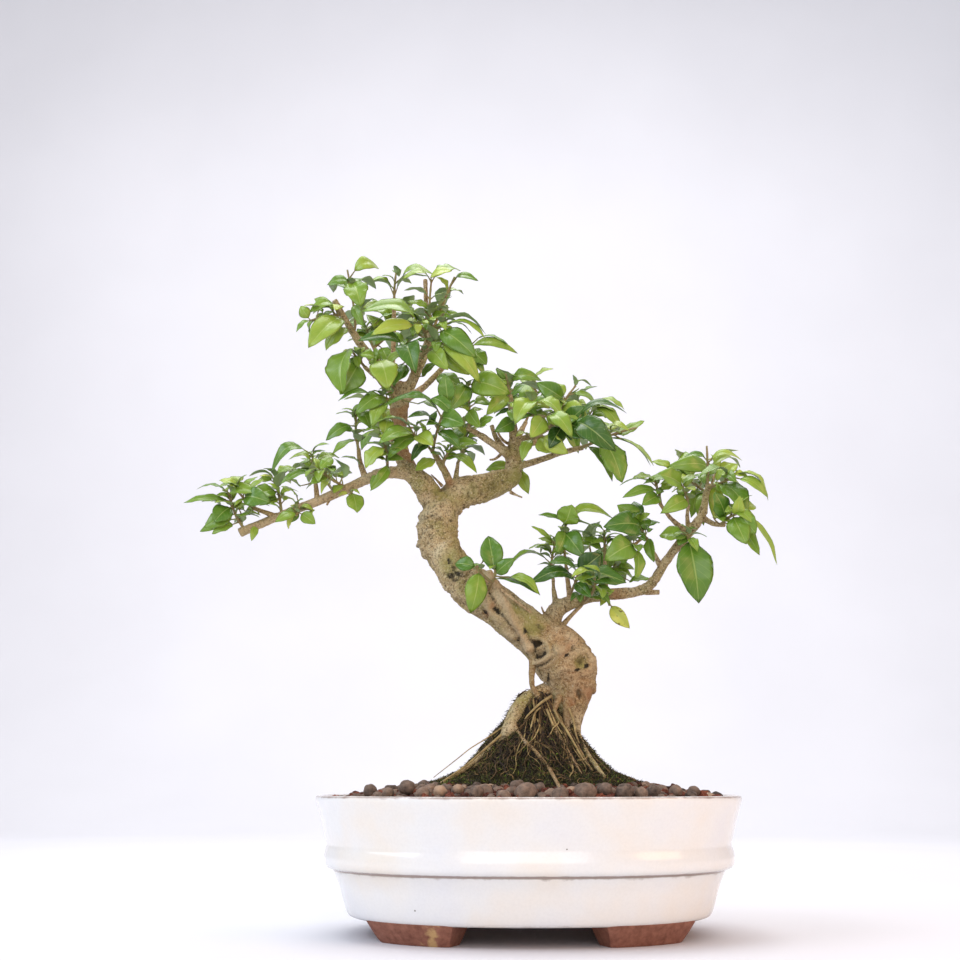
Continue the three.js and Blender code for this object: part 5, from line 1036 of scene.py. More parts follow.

# Leafy shoots: name, pairs of leaves set by rule on each stem, their length, and stems and leaves listed one by one.
# A stem is a list of [x, z, depth] in the front view, and a leaf is [base x, base z, tip x, tip z, base depth, tip
# depth, width, turn of its face to the front, arch].
leafShape = {
    "shoots": [
        ("top_left_tip", 0, 14, [[[-110, 365, -7], [-109, 374, -9], [-111, 390, -11], [-115, 411, -12]]], [
         [-113, 406, -94, 413, -12, -8, 11, 0.7, 0.3], [-112, 401, -128, 401, -12, -15, 9, 0.6, 0.22],
         [-112, 402, -106, 387, -12, -22, 16, 1, 0.1], [-110, 387, -104, 372, -10, -16, 7, 0.8, 0.12],
         [-111, 392, -96, 398, -10, 6, 11, 0.3, 0.2], [-112, 394, -124, 396, -11, 6, 11, 0.3, 0.2]]),
        ("top_left_end", 1, 13, [[[-118, 380, -8], [-127, 379, -11], [-138, 376, -14]]], [
         [-121, 383, -139, 382, -9, -16, 10, 0.6, 0.25], [-124, 384, -136, 391, -9, -11, 7, 0.8, 0.2],
         [-116, 377, -139, 358, -9, -22, 18, 0.8, 0.14], [-138, 376, -145, 386, -14, -16, 8, 1, 0.1],
         [-136, 375, -147, 368, -14, -19, 5, 0.5, 0.15], [-119, 378, -131, 364, -9, -2, 9, 0.7, 0.1]]),
        ("top_left_hanging", 1, 10, [[[-101, 344, -11], [-106, 349, -13], [-110, 354, -14]]], [
         [-106, 348, -117, 327, -13, -18, 18, 1, 0.08], [-109, 353, -106, 344, -14, -17, 6, 1, 0.05]]),
        ("top_upright", 1, 12, [[[-84, 386, 12], [-84, 398, 12], [-83, 411, 12]]], [
         [-85, 393, -104, 402, 12, 8, 9, 0.4, 0.3], [-83, 393, -61, 407, 12, 8, 11, 0.45, 0.3]]),
        ("top_centre", 1, 16, [[[-59, 368, -8], [-61, 386, -9], [-60, 404, -9]]], [
         [-60, 402, -41, 412, -9, -6, 11, 0.7, 0.25], [-60, 402, -79, 405, -9, -14, 9, 0.6, 0.25]]),
        ("top_right_stub", 1, 11, [[[-57, 369, -8], [-51, 391, -5], [-45, 406, -3]]], [
         [-46, 399, -29, 403, -4, -2, 6, 0.5, 0.3], [-53, 384, -63, 385, -6, -2, 6, 0.8, 0.1]]),
        ("top_front", 0, 13, [[[-61, 362, -7], [-65, 370, -16], [-69, 373, -22]],
         [[-64, 368, -14], [-56, 371, -18], [-52, 372, -20]]], [
         [-67, 371, -105, 384, -18, -32, 15, 0.5, 0.2], [-70, 372, -98, 368, -22, -34, 11, 0.7, 0.1],
         [-54, 373, -24, 366, -20, -24, 9, 0.35, 0.28], [-54, 370, -33, 369, -18, -12, 7, 0.5, 0.16],
         [-55, 369, -31, 352, -19, -28, 15, 0.6, 0.14]]),
        ("top_right_end", 1, 13, [[[-52, 345, 12], [-43, 352, 14], [-35, 358, 14]]], [
         [-35, 357, -4, 355, 14, 10, 8, 0.4, 0.24], [-36, 357, -24, 346, 14, 8, 13, 1, 0.08],
         [-39, 354, -25, 340, 14, 10, 7, 0.8, 0.1]]),
        ("top_low_right", 1, 13, [[[-64, 352, -5], [-58, 358, -14], [-54, 361, -20]]], [
         [-54, 360, -28, 336, -20, -26, 12, 0.6, 0.16], [-56, 357, -35, 339, -17, -18, 11, 0.7, 0.18],
         [-60, 356, -50, 344, -16, -28, 12, 0.9, 0.1]]),
        ("top_low_centre", 0, 13, [[[-72, 338, -1], [-74, 350, -12], [-76, 360, -20]]], [
         [-76, 360, -70, 342, -19, -32, 15, 1, 0.12], [-77, 347, -84, 333, -12, -20, 10, 0.8, 0.1],
         [-78, 358, -107, 363, -18, -28, 11, 0.6, 0.18]]),
        ("top_low_left", 0, 13, [[[-89, 337, 0], [-91, 344, -10], [-95, 349, -17]]], [
         [-94, 349, -87, 330, -16, -26, 18, 0.9, 0.12], [-90, 343, -78, 355, -10, -18, 9, 0.7, 0.1],
         [-95, 349, -105, 353, -17, -22, 9, 0.6, 0.16]]),
        ("top_back_left", 2, 20, [[[-93, 349, 32], [-99, 362, 39], [-104, 377, 42]],
         [[-97, 357, 37], [-88, 366, 44], [-84, 378, 48]]], []),
        ("top_back_right", 2, 20, [[[-62, 354, 31], [-57, 366, 38], [-52, 381, 42]],
         [[-59, 361, 35], [-69, 368, 44], [-73, 380, 49]]], []),
        ("top_stump", 1, 12, [[[-84, 324, 0], [-89, 322, -8], [-95, 322, -14]]], [
         [-95, 322, -119, 323, -14, -18, 8, 0.4, 0.24], [-87, 322, -107, 315, -8, -20, 13, 0.6, 0.16],
         [-88, 321, -97, 306, -9, -22, 11, 0.8, 0.1]]),
        ("middle_front", 0, 13, [[[-58, 289, -7], [-56, 300, -16], [-53, 311, -20]]], [
         [-53, 311, -90, 319, -20, -26, 10, 0.5, 0.2], [-56, 305, -74, 312, -18, -28, 9, 0.6, 0.16],
         [-53, 310, -38, 306, -20, -30, 13, 0.9, 0.14], [-56, 301, -40, 291, -17, -24, 9, 0.7, 0.14]]),
        ("middle_upright", 0, 12, [[[-36, 302, -10], [-35, 316, -9], [-36, 334, -9]]], [
         [-37, 333, -46, 317, -9, -20, 13, 1, 0.12], [-35, 332, -10, 328, -9, -18, 18, 0.9, 0.16],
         [-35, 325, -45, 328, -9, 2, 9, 0.6, 0.12], [-35, 316, -28, 304, -9, -18, 9, 0.9, 0.1],
         [-35, 318, -20, 318, -9, 2, 10, 0.5, 0.16]]),
        ("middle_left", 1, 12, [[[-58, 288, -7], [-65, 296, -14], [-70, 299, -18]]], [
         [-70, 299, -98, 306, -18, -24, 9, 0.4, 0.2], [-69, 299, -58, 292, -17, -28, 11, 1, 0.08],
         [-67, 297, -87, 284, -15, -22, 10, 0.6, 0.16], [-70, 299, -92, 296, -18, -30, 13, 0.7, 0.16]]),
        ("middle_low", 1, 12, [[[-54, 276, -3], [-50, 285, -9], [-46, 291, -13]]], [
         [-47, 289, -30, 294, -12, -20, 9, 0.7, 0.14], [-49, 285, -30, 275, -9, -14, 9, 0.8, 0.18]]),
        ("middle_back", 3, 17, [[[-42, 280, 9], [-38, 292, 18], [-37, 304, 24]]], []),
        ("middle_back_left", 3, 18, [[[-86, 297, 20], [-92, 306, 29], [-97, 316, 34]]], []),
        ("middle_front_left", 3, 15, [[[-84, 277, -8], [-87, 287, -17], [-90, 297, -22]]], [
         [-85, 280, -97, 263, -11, -18, 7, 0.9, 0.12]]),
        ("right_top_bud", 0, 12, [[[-9, 323, -4], [-10, 331, -5], [-12, 340, -6]]], [
         [-10, 333, 11, 336, -5, -8, 10, 0.6, 0.32], [-11, 335, -18, 343, -6, -9, 4, 0.8, 0.1],
         [-9, 327, 14, 327, -5, 6, 10, 0.35, 0.2], [-9, 325, -24, 313, -4, -12, 10, 0.9, 0.1],
         [-9, 328, -28, 330, -5, 4, 11, 0.4, 0.2]]),
        ("right_top_front", 0, 16, [[[-8, 308, -3], [0, 315, -12], [7, 320, -18]],
         [[-3, 312, -8], [8, 312, -16], [15, 311, -22]]], [
         [7, 320, -6, 309, -18, -30, 14, 0.7, 0.14], [6, 320, 24, 312, -18, -24, 12, 0.5, 0.18],
         [14, 311, 30, 300, -21, -32, 12, 0.7, 0.16], [12, 311, 4, 298, -20, -30, 12, 0.9, 0.1],
         [-6, 309, -18, 302, -5, -12, 10, 0.8, 0.12]]),
        ("right_top_crest", 1, 13, [[[17, 303, -5], [22, 315, -9], [27, 324, -10], [33, 332, -11]]], [
         [26, 322, 8, 334, -10, -14, 12, 0.8, 0.2], [28, 325, 47, 319, -10, -8, 8, 0.5, 0.2],
         [24, 318, 40, 308, -9, -22, 14, 0.8, 0.12], [23, 316, 10, 324, -9, 4, 11, 0.3, 0.18]]),
        ("right_top_dark", 0, 15, [[[18, 303, -5], [25, 305, -14], [34, 308, -20]]], [
         [33, 308, 65, 316, -20, -22, 8, 0.4, 0.26], [27, 306, 46, 297, -16, -28, 16, 0.9, 0.1],
         [32, 307, 57, 290, -19, -30, 17, 0.8, 0.16], [24, 305, 16, 292, -14, -22, 11, 0.9, 0.1],
         [26, 305, 38, 318, -14, -22, 13, 0.9, 0.08]]),
        ("right_top_end", 0, 14, [[[35, 291, -4], [43, 294, -9], [49, 297, -12], [60, 301, -13], [71, 304, -14]]], [
         [48, 296, 61, 268, -12, -18, 17, 0.9, 0.14], [38, 292, 56, 271, -6, -10, 9, 0.6, 0.18],
         [50, 297, 81, 282, -12, -12, 7, 0.4, 0.12], [55, 299, 76, 310, -13, -12, 8, 0.5, -0.1],
         [46, 295, 62, 300, -10, 4, 11, 0.4, 0.2]]),
        ("right_top_yellow", 0, 12, [[[0, 297, 2], [6, 297, -8], [11, 299, -14]]], [
         [7, 298, 18, 288, -10, -14, 13, 1, 0.08], [11, 299, 27, 287, -14, -20, 11, 1, 0.1],
         [5, 297, -2, 284, -8, -16, 8, 0.9, 0.1], [3, 297, 20, 301, -5, 2, 9, 0.5, 0.2]]),
        ("right_top_back_inner", 2, 19, [[[0, 306, 25], [4, 316, 32], [8, 328, 36]],
         [[2, 311, 29], [-7, 316, 37], [-12, 325, 42]]], []),
        ("right_top_back_outer", 2, 19, [[[22, 299, 21], [32, 304, 27], [41, 312, 30]],
         [[28, 302, 25], [29, 309, 35], [32, 318, 40]]], []),
        ("right_limb", 0, 10, [[[-9, 273, 15], [-6, 277, 20], [-4, 281, 23]]], [
         [-6, 277, 2, 262, 20, 15, 9, 1, 0.08], [-6, 277, -25, 277, 20, 22, 9, 0.8, 0.12]]),
        ("left_end", 1, 14, [[[-175, 238, -14], [-181, 248, -16], [-186, 262, -18]],
         [[-179, 243, -15], [-172, 253, -8], [-170, 264, -4]]], [
         [-186, 261, -206, 266, -18, -20, 7, 0.4, 0.18], [-184, 256, -214, 256, -17, -22, 6, 0.5, 0.08],
         [-183, 253, -194, 243, -17, -24, 13, 1, 0.08], [-181, 248, -200, 240, -16, -22, 12, 0.9, 0.12],
         [-180, 245, -203, 237, -15, -10, 7, 0.7, 0.1], [-185, 259, -168, 262, -18, -26, 10, 0.6, 0.2]]),
        ("left_end_top", 1, 15, [[[-168, 251, -15], [-175, 257, -20], [-182, 265, -23]]], [
         [-176, 258, -160, 256, -20, -28, 13, 0.8, 0.14], [-180, 262, -192, 270, -22, -26, 9, 0.6, 0.16]]),
        ("left_outer", 3, 15, [[[-151, 249, -12], [-154, 259, -6], [-157, 269, -3]]], [
         [-155, 262, -172, 258, -5, -14, 12, 0.7, 0.16]]),
        ("left_arch", 1, 14, [[[-132, 269, -12], [-133, 277, -12], [-134, 286, -12]]], [
         [-135, 286, -160, 275, -12, -16, 10, 0.5, 0.3], [-132, 273, -154, 267, -12, -18, 8, 0.6, 0.16],
         [-133, 280, -117, 286, -12, -8, 8, 0.6, 0.14]]),
        ("left_inner", 3, 14, [[[-112, 266, -12], [-121, 270, -19], [-130, 275, -23]]], []),
        ("left_upright", 1, 14, [[[-105, 288, -5], [-107, 302, -6], [-107, 319, -7]]], [
         [-108, 305, -126, 296, -6, -10, 9, 0.6, 0.2], [-106, 296, -122, 288, -6, -14, 8, 0.7, 0.1]]),
        ("left_hanging_yellow", 0, 10, [[[-108, 264, -12], [-109, 262, -15], [-110, 260, -17]]], [
         [-109, 263, -105, 249, -15, -19, 12, 1, 0.08]]),
        ("left_under", 0, 10, [[[-140, 251, -13], [-142, 249, -17], [-143, 247, -19]]], [
         [-141, 249, -131, 242, -17, -20, 8, 1, 0.08], [-142, 248, -156, 243, -18, -26, 8, 0.6, 0.14]]),
        ("left_back", 3, 16, [[[-119, 264, -8], [-126, 270, 6], [-134, 278, 14]]], []),
        ("trunk_shoot", 0, 12, [[[-23, 202, -18], [-20, 207, -22], [-19, 213, -25]],
         [[-21, 205, -20], [-27, 210, -23], [-31, 215, -24]]], [
         [-19, 210, -23, 235, -24, -22, 14, 0.9, 0.06], [-20, 207, 7, 200, -22, -28, 8, 0.7, 0.1],
         [-19, 209, -8, 220, -23, -30, 9, 0.8, 0.1], [-29, 213, -33, 187, -24, -28, 14, 1, 0.08],
         [-29, 214, -44, 217, -24, -22, 10, 0.8, 0.1], [-30, 214, -14, 221, -24, -14, 6, 0.3, 0.3]]),
        ("lower_first", 1, 12, [[[17, 206, 1], [16, 217, -1], [18, 229, -3]]], [
         [16, 216, -14, 210, -1, -6, 9, 0.4, 0.28], [18, 229, 4, 241, -3, -6, 4, 0.6, 0.06],
         [17, 222, 2, 227, -2, -12, 8, 0.4, 0.18], [16, 214, 30, 219, -1, 8, 9, 0.4, 0.18]]),
        ("lower_tall", 0, 14, [[[25, 212, -2], [24, 227, -4], [25, 244, -6]]], [
         [25, 243, 8, 248, -6, -8, 5, 0.4, 0.06], [24, 240, 29, 254, -6, -14, 15, 1, 0.08],
         [25, 240, 55, 246, -5, -8, 11, 0.6, 0.22], [24, 238, 20, 224, -5, -14, 11, 0.9, 0.1],
         [24, 236, 35, 222, -5, -16, 14, 1, 0.1], [24, 228, 45, 232, -4, 6, 9, 0.5, 0.18],
         [24, 226, 8, 225, -4, 8, 9, 0.4, 0.18]]),
        ("lower_dark", 0, 14, [[[30, 197, -3], [30, 204, -11], [32, 210, -16]]], [
         [30, 208, 2, 204, -14, -20, 11, 0.55, 0.16], [32, 210, 62, 205, -16, -22, 16, 0.7, 0.14],
         [31, 210, 47, 223, -16, -20, 15, 1, 0.1], [30, 205, 40, 196, -12, -22, 8, 0.9, 0.1],
         [32, 210, 14, 218, -16, -22, 9, 0.6, 0.16]]),
        ("lower_slim", 1, 12, [[[49, 218, 2], [49, 228, 1], [49, 238, 0]]], [
         [49, 237, 42, 242, 0, -2, 3, 0.6, 0.1], [49, 237, 56, 241, 0, -2, 3, 0.6, 0.1],
         [49, 223, 29, 231, 1, 6, 10, 0.6, 0.18]]),
        ("lower_big", 0, 15, [[[76, 231, -3], [72, 238, -6], [69, 243, -8]],
         [[74, 234, -4], [68, 229, -10], [64, 226, -14]]], [
         [71, 239, 58, 254, -7, -14, 14, 0.9, 0.1], [72, 238, 50, 241, -6, -20, 17, 0.8, 0.14],
         [71, 241, 68, 257, -7, -4, 9, 0.9, 0.1], [73, 237, 84, 243, -5, 4, 6, 0.7, 0.12],
         [67, 228, 50, 220, -11, -22, 17, 0.7, 0.14], [66, 227, 68, 207, -12, -20, 9, 0.8, 0.1]]),
        ("lower_spotted", 0, 10, [[[50, 193, -3], [51, 192, -7], [51, 191, -9]]], [
         [51, 192, 63, 177, -7, -10, 9, 1, 0.1], [50, 193, 37, 200, -6, -14, 8, 0.6, 0.2]]),
        ("lower_back", 2, 18, [[[44, 199, 5], [42, 212, 18], [40, 226, 26]],
         [[43, 206, 12], [56, 214, 18], [64, 222, 22]]], []),
        ("lower_front", 3, 15, [[[40, 193, -3], [41, 199, -16], [43, 206, -24]]], []),
        ("pad_hanging", 0, 12, [[[101, 234, -7], [101, 233, -11], [101, 232, -13]]], [
         [101, 233, 107, 193, -11, -15, 23, 1, 0.06], [100, 233, 83, 235, -11, -8, 13, 0.8, 0.1]]),
        ("pad_left", 1, 13, [[[85, 254, -7], [84, 260, -9], [82, 267, -10]]], [
         [84, 259, 73, 254, -9, -18, 10, 0.8, 0.12], [83, 263, 61, 259, -10, -16, 7, 0.5, 0.12],
         [83, 265, 59, 268, -10, -6, 7, 0.5, 0.14], [82, 267, 68, 272, -10, -18, 8, 0.7, 0.16]]),
        ("pad_middle", 1, 14, [[[102, 252, -7], [101, 260, -9], [98, 267, -12]]], [
         [101, 257, 86, 250, -8, -18, 11, 0.8, 0.12], [99, 264, 84, 274, -11, -22, 15, 0.9, 0.12],
         [98, 267, 74, 268, -12, -14, 9, 0.6, 0.16]]),
        ("pad_crest", 1, 13, [[[114, 266, -5], [115, 278, -6], [115, 292, -6]]], [
         [115, 282, 101, 286, -6, -8, 6, 0.6, 0.2], [115, 280, 137, 284, -6, -8, 7, 0.4, 0.3],
         [115, 277, 91, 279, -6, -18, 11, 0.7, 0.14], [115, 275, 136, 279, -6, 4, 8, 0.4, 0.2]]),
        ("pad_right", 0, 13, [[[116, 264, -6], [123, 268, -13], [130, 272, -17]]], [
         [129, 272, 153, 258, -17, -20, 9, 0.5, 0.26], [121, 267, 139, 250, -11, -24, 16, 0.8, 0.14],
         [128, 271, 110, 274, -16, -26, 9, 0.5, 0.2], [124, 269, 138, 264, -14, -8, 7, 0.5, 0.14]]),
        ("pad_drooping", 0, 15, [[[121, 241, -12], [127, 246, -18], [134, 249, -22]]], [
         [124, 244, 119, 262, -15, -24, 13, 1, 0.1], [129, 247, 137, 230, -20, -30, 14, 1, 0.1],
         [134, 249, 143, 236, -22, -28, 12, 1, 0.12], [123, 242, 146, 224, -14, -20, 13, 0.5, 0.12],
         [134, 249, 156, 216, -22, -22, 8, 0.5, 0.08]]),
        ("pad_back", 2, 18, [[[113, 257, 1], [117, 267, 11], [120, 276, 18]],
         [[115, 261, 5], [105, 268, 15], [98, 275, 21]]], []),
    ],
    "gap": 3.4, "extraGap": 2.0, "lineSamples": 24, "attempts": 7,
    "rows": 10, "across": [-1, -0.82, -0.5, -0.16, 0, 0.16, 0.5, 0.82, 1],
    "thickness": 0.3, "rib": 0.34, "petiole": 0.5, "stem": (1.0, 0.62),
    "fold": 0.36, "cup": 0.2, "wave": 0.1, "roll": 0.26, "archGain": (1.0, 1.6), "droop": 0.13,
    "extraPairs": 5, "extraSize": (0.7, 1.1),
    "sparse": ["top_right_stub", "top_right_end", "top_upright", "top_left_tip", "right_top_bud", "lower_tall",
               "trunk_shoot", "lower_spotted", "left_hanging_yellow", "right_top_yellow", "lower_dark", "pad_crest"],
    "added": [  # leaves listed where the crown is dense: [base x, z, tip x, z, width, turn to the front, arch]
        [-110, 358, -117, 327, 21, 0.7, 0.1], [-112, 371, -128, 357, 13, 0.5, 0.12],
        [-58, 336, -39, 330, 13, 0.5, 0.14], [-48, 318, -51, 340, 11, 0.6, 0.1], [-61, 323, -45, 313, 10, 0.5, 0.15],
        [-66, 335, -56, 348, 10, 0.5, 0.1], [-90, 301, -104, 291, 13, 0.45, 0.15],
        [-87, 291, -101, 279, 13, 0.5, 0.12], [-86, 281, -99, 284, 9, 0.5, 0.12],
        [-103, 276, -115, 286, 10, 0.4, 0.15], [-57, 292, -72, 284, 10, 0.45, 0.15],
        [-55, 283, -69, 276, 10, 0.5, 0.15], [-142, 256, -153, 266, 9, 0.45, 0.15],
        [-140, 263, -151, 271, 8, 0.4, 0.15], [-152, 250, -166, 255, 8, 0.4, 0.18],
        [-163, 245, -179, 247, 9, 0.4, 0.18], [-189, 250, -202, 257, 10, 0.4, 0.16],
        [-180, 241, -195, 236, 7, 0.4, 0.12], [-168, 241, -170, 232, 5, 0.5, 0.1],
        [-131, 252, -136, 242, 8, 0.5, 0.1], [-88, 272, -97, 266, 8, 0.5, 0.12], [-52, 373, -24, 365, 9, 0.4, 0.14],
        [-33, 361, -10, 360, 7, 0.4, 0.14], [-80, 402, -59, 409, 10, 0.35, 0.2], [-62, 403, -47, 411, 11, 0.4, 0.16],
        [-84, 398, -103, 402, 8, 0.3, 0.16], [-46, 404, -30, 404, 7, 0.35, 0.15], [46, 322, 64, 318, 8, 0.4, 0.12],
        [43, 318, 62, 302, 10, 0.45, 0.14], [58, 297, 82, 280, 8, 0.45, 0.1], [26, 303, 34, 288, 9, 0.5, 0.12],
        [94, 273, 81, 283, 9, 0.4, 0.12], [108, 266, 104, 247, 9, 0.5, 0.1], [113, 263, 110, 242, 9, 0.5, 0.1],
        [119, 268, 118, 244, 10, 0.5, 0.1], [113, 245, 135, 236, 8, 0.45, 0.14], [132, 270, 152, 260, 9, 0.4, 0.16],
        [77, 234, 79, 218, 7, 0.5, 0.1], [20, 238, 43, 241, 9, 0.4, 0.14], [62, 203, 77, 207, 7, 0.45, 0.15],
        [-13, 207, 9, 199, 8, 0.4, 0.14], [-95, 372, -84, 381, 10, 0.4, 0.15], [-88, 383, -104, 386, 10, 0.35, 0.15],
        [-92, 358, -86, 346, 10, 0.5, 0.12], [-74, 346, -84, 334, 11, 0.5, 0.12], [-70, 303, -58, 309, 9, 0.4, 0.15],
        [-30, 303, -20, 311, 10, 0.45, 0.12], [-70, 317, -56, 318, 9, 0.4, 0.15], [6, 330, -8, 325, 10, 0.45, 0.15],
        [20, 322, 6, 317, 11, 0.5, 0.12], [30, 312, 14, 306, 10, 0.5, 0.12], [-106, 316, -98, 305, 10, 0.5, 0.12],
        [-178, 262, -190, 268, 8, 0.35, 0.15], [-120, 284, -129, 277, 8, 0.45, 0.12],
    ],
    "topStops": [(0, "#2F5017"), (0.3, "#4C7421"), (0.55, "#76952F"), (0.75, "#9DB040"), (0.9, "#BFC457"),
                 (1, "#D2CC6A")],
    "underGrey": "#9AA989", "vein": "#B8C672", "edge": "#BFCB74", "spot": "#5A4520",
    "stemGreen": "#8A9A4E", "stemBrown": "#8C7350", "bud": "#C08A52",
    "age": {  # 0 is old and dark green, 1 is yellow; shoots not named here are 0.5
        "lower_dark": 0.15, "right_top_dark": 0.18, "lower_big": 0.34, "top_low_centre": 0.28, "middle_front": 0.3,
        "top_left_hanging": 0.5, "lower_tall": 0.46, "trunk_shoot": 0.42, "lower_first": 0.5, "pad_hanging": 0.46,
        "lower_spotted": 0.8, "left_hanging_yellow": 0.66, "right_top_yellow": 0.68, "left_under": 0.55,
        "top_left_end": 0.52, "top_left_tip": 0.52, "pad_crest": 0.52, "lower_back": 0.35, "lower_front": 0.4,
        "middle_back": 0.38, "top_back_left": 0.42, "top_back_right": 0.4, "right_top_back_inner": 0.4,
    },
    "spotted": {"lower_spotted": 1.0, "left_hanging_yellow": 0.7, "top_left_end": 0.25, "right_top_yellow": 0.3},
}
upwards = np.array([0.0, 0.0, 1.0])
frontwards = np.array([0.0, -1.0, 0.0])


def leafFrame(leaf):
    chord = leaf["tip"] - leaf["base"]
    length = math.sqrt(float(chord @ chord))
    ahead = chord / length
    face = upwards * (1 - leaf["face"]) + frontwards * leaf["face"]
    face = unit(face - ahead * float(face @ ahead))
    return length, ahead, face, np.cross(ahead, face)


def leafPoint(leaf, shape, share):  # centre of the blade at a share of its length
    length, ahead, face, side = shape
    return (leaf["base"] + ahead * (length * share)
            + face * (length * leaf["arch"] * math.sin(math.pi * share ** 0.85)))


def leafSamples(leaf):
    shape = leafFrame(leaf)
    points = [leafPoint(leaf, shape, share) for share in (0.3, 0.5, 0.7, 0.95)]
    points += [leafPoint(leaf, shape, 0.45) + shape[3] * (sign * leaf["width"] * 0.36) for sign in (-1, 1)]
    return np.array(points)


def nearestPoint(lines, p):
    best, least = None, None
    for line in lines:
        for k in range(leafShape["lineSamples"] + 1):
            q = along(line, k / leafShape["lineSamples"])
            away = float((q - p) @ (q - p))
            if best is None or away < least:
                best, least = q, away
    return best


def tooNear(samples, taken, gap):
    if not taken:
        return False
    others = np.vstack(taken)
    away = ((samples[:, None, :] - others[None]) ** 2).sum(2)
    return bool((away < gap * gap).any())


def pairLeaf(tangent, across, other, sign, opening, swing, lift):
    ahead = (tangent * math.cos(opening) + across * (sign * math.sin(opening) * math.cos(swing))
             + other * (sign * math.sin(opening) * math.sin(swing)))
    ahead[2] = ahead[2] * 0.6 + lift
    return unit(ahead)


def placeLeaves():
    taken = []
    deeper = woodShape["crownDepth"]
    lines = [[seen(x, z, depth) for x, z, depth, radius in woodShape["trunk"]]]
    lines += [[seen(x, z, depth * deeper) for x, z, depth, radius in path] for path in woodShape["limbs"]]
    grown = []
    for name, pairs, size, flatStems, ownLeaves in leafShape["shoots"]:
        stems = [[seen(x, z, depth * deeper) for x, z, depth in stem] for stem in flatStems]
        stems[0][0] = nearestPoint(lines, stems[0][0])
        leaves = []
        for x0, z0, x1, z1, d0, d1, width, face, arch in ownLeaves:
            base = seen(x0, z0, d0 * deeper)
            leaf = {"base": base, "tip": seen(x1, z1, d1 * deeper), "width": width, "face": face, "arch": arch,
                    "root": nearestPoint(stems, base), "late": 0.0}
            leaves.append(leaf)
            taken.append(leafSamples(leaf))
        grown.append((name, pairs, size, stems, leaves))
    for index, (name, pairs, size, stems, leaves) in enumerate(grown):
        draw = randomFrom(1000 + 37 * index)
        for stem in stems:
            for pair in range(pairs):
                t = 0.6 if pairs == 1 else 0.3 + 0.66 * pair / (pairs - 1)
                root = along(stem, t)
                tangent = unit(along(stem, min(t + 0.05, 1)) - along(stem, t - 0.05))
                across = unit(np.cross(tangent, frontwards))
                other = np.cross(tangent, across)
                turn = (pair % 2) * (math.pi / 2) + draw() * 0.7
                for sign in (-1, 1):
                    opening = 0.95 + draw() * 0.3
                    length = size * (0.8 + draw() * 0.45)
                    width = length * (0.48 + draw() * 0.1)
                    lift = draw() * 0.25
                    arch = 0.1 + draw() * 0.14
                    face = 0.12 + draw() * 0.3
                    for attempt in range(leafShape["attempts"]):
                        swing = turn + (1 if attempt % 2 else -1) * math.ceil(attempt / 2) * 0.35
                        ahead = pairLeaf(tangent, across, other, sign, opening, swing, lift)
                        tip = root + ahead * (length * (1 - 0.05 * attempt))
                        leaf = {"root": root, "base": root, "tip": tip, "width": width, "face": face, "arch": arch,
                                "late": 0.05 + 0.12 * t}
                        samples = leafSamples(leaf)
                        if tooNear(samples, taken, leafShape["gap"]):
                            continue
                        taken.append(samples)
                        leaves.append(leaf)
                        break
    tracks = [(number, along([np.array(q, float) for q in stem], k / 16))
              for number, shoot in enumerate(leafShape["shoots"]) for stem in shoot[3] for k in range(17)]
    for x0, z0, x1, z1, width, face, arch in leafShape["added"]:
        number, near = min(tracks, key=lambda track: math.hypot(track[1][0] - x0, track[1][1] - z0))
        *_, stems, leaves = grown[number]
        base = seen(x0, z0, near[2] * deeper - 1.5)
        leaf = {"base": base, "tip": seen(x1, z1, near[2] * deeper - 9), "width": width, "face": face, "arch": arch,
                "root": nearestPoint(stems, base), "late": 0.05}
        leaves.append(leaf)
        taken.append(leafSamples(leaf))
    rng = np.random.default_rng(77)
    for name, pairs, size, stems, leaves in grown:  # more leaves between those of the solids
        for stem in stems:
            for pair in range(1 if name in leafShape["sparse"] else leafShape["extraPairs"]):
                t = float(rng.uniform(0.12, 0.92))
                root = along(stem, t)
                tangent = unit(along(stem, t) - along(stem, t - 0.06))
                across = unit(np.cross(tangent, frontwards))
                other = np.cross(tangent, across)
                turn = float(rng.uniform(0, math.pi))
                for sign in (-1, 1):
                    opening = float(rng.uniform(0.7, 1.25))
                    low, high = leafShape["extraSize"]
                    length = size * float(rng.uniform(low, high))
                    for attempt in range(leafShape["attempts"]):
                        swing = turn + (1 if attempt % 2 else -1) * math.ceil(attempt / 2) * 0.4
                        ahead = pairLeaf(tangent, across, other, sign, opening, swing, 0.15)
                        leaf = {"root": root, "base": root, "tip": root + ahead * length,
                                "width": length * float(rng.uniform(0.46, 0.6)), "face": float(rng.uniform(0.2, 0.6)),
                                "arch": float(rng.uniform(0.12, 0.28)), "late": 0.02 + 0.15 * t}
                        samples = leafSamples(leaf)
                        if tooNear(samples, taken, leafShape["extraGap"]):
                            continue
                        taken.append(samples)
                        leaves.append(leaf)
                        break
    return grown


def bladeWidth(share, start):
    t = max(0.0, (share - start) / (1 - start))
    return math.sin(math.pi * t ** 0.9) ** 0.76 * (1 - 0.15 * t ** 4)


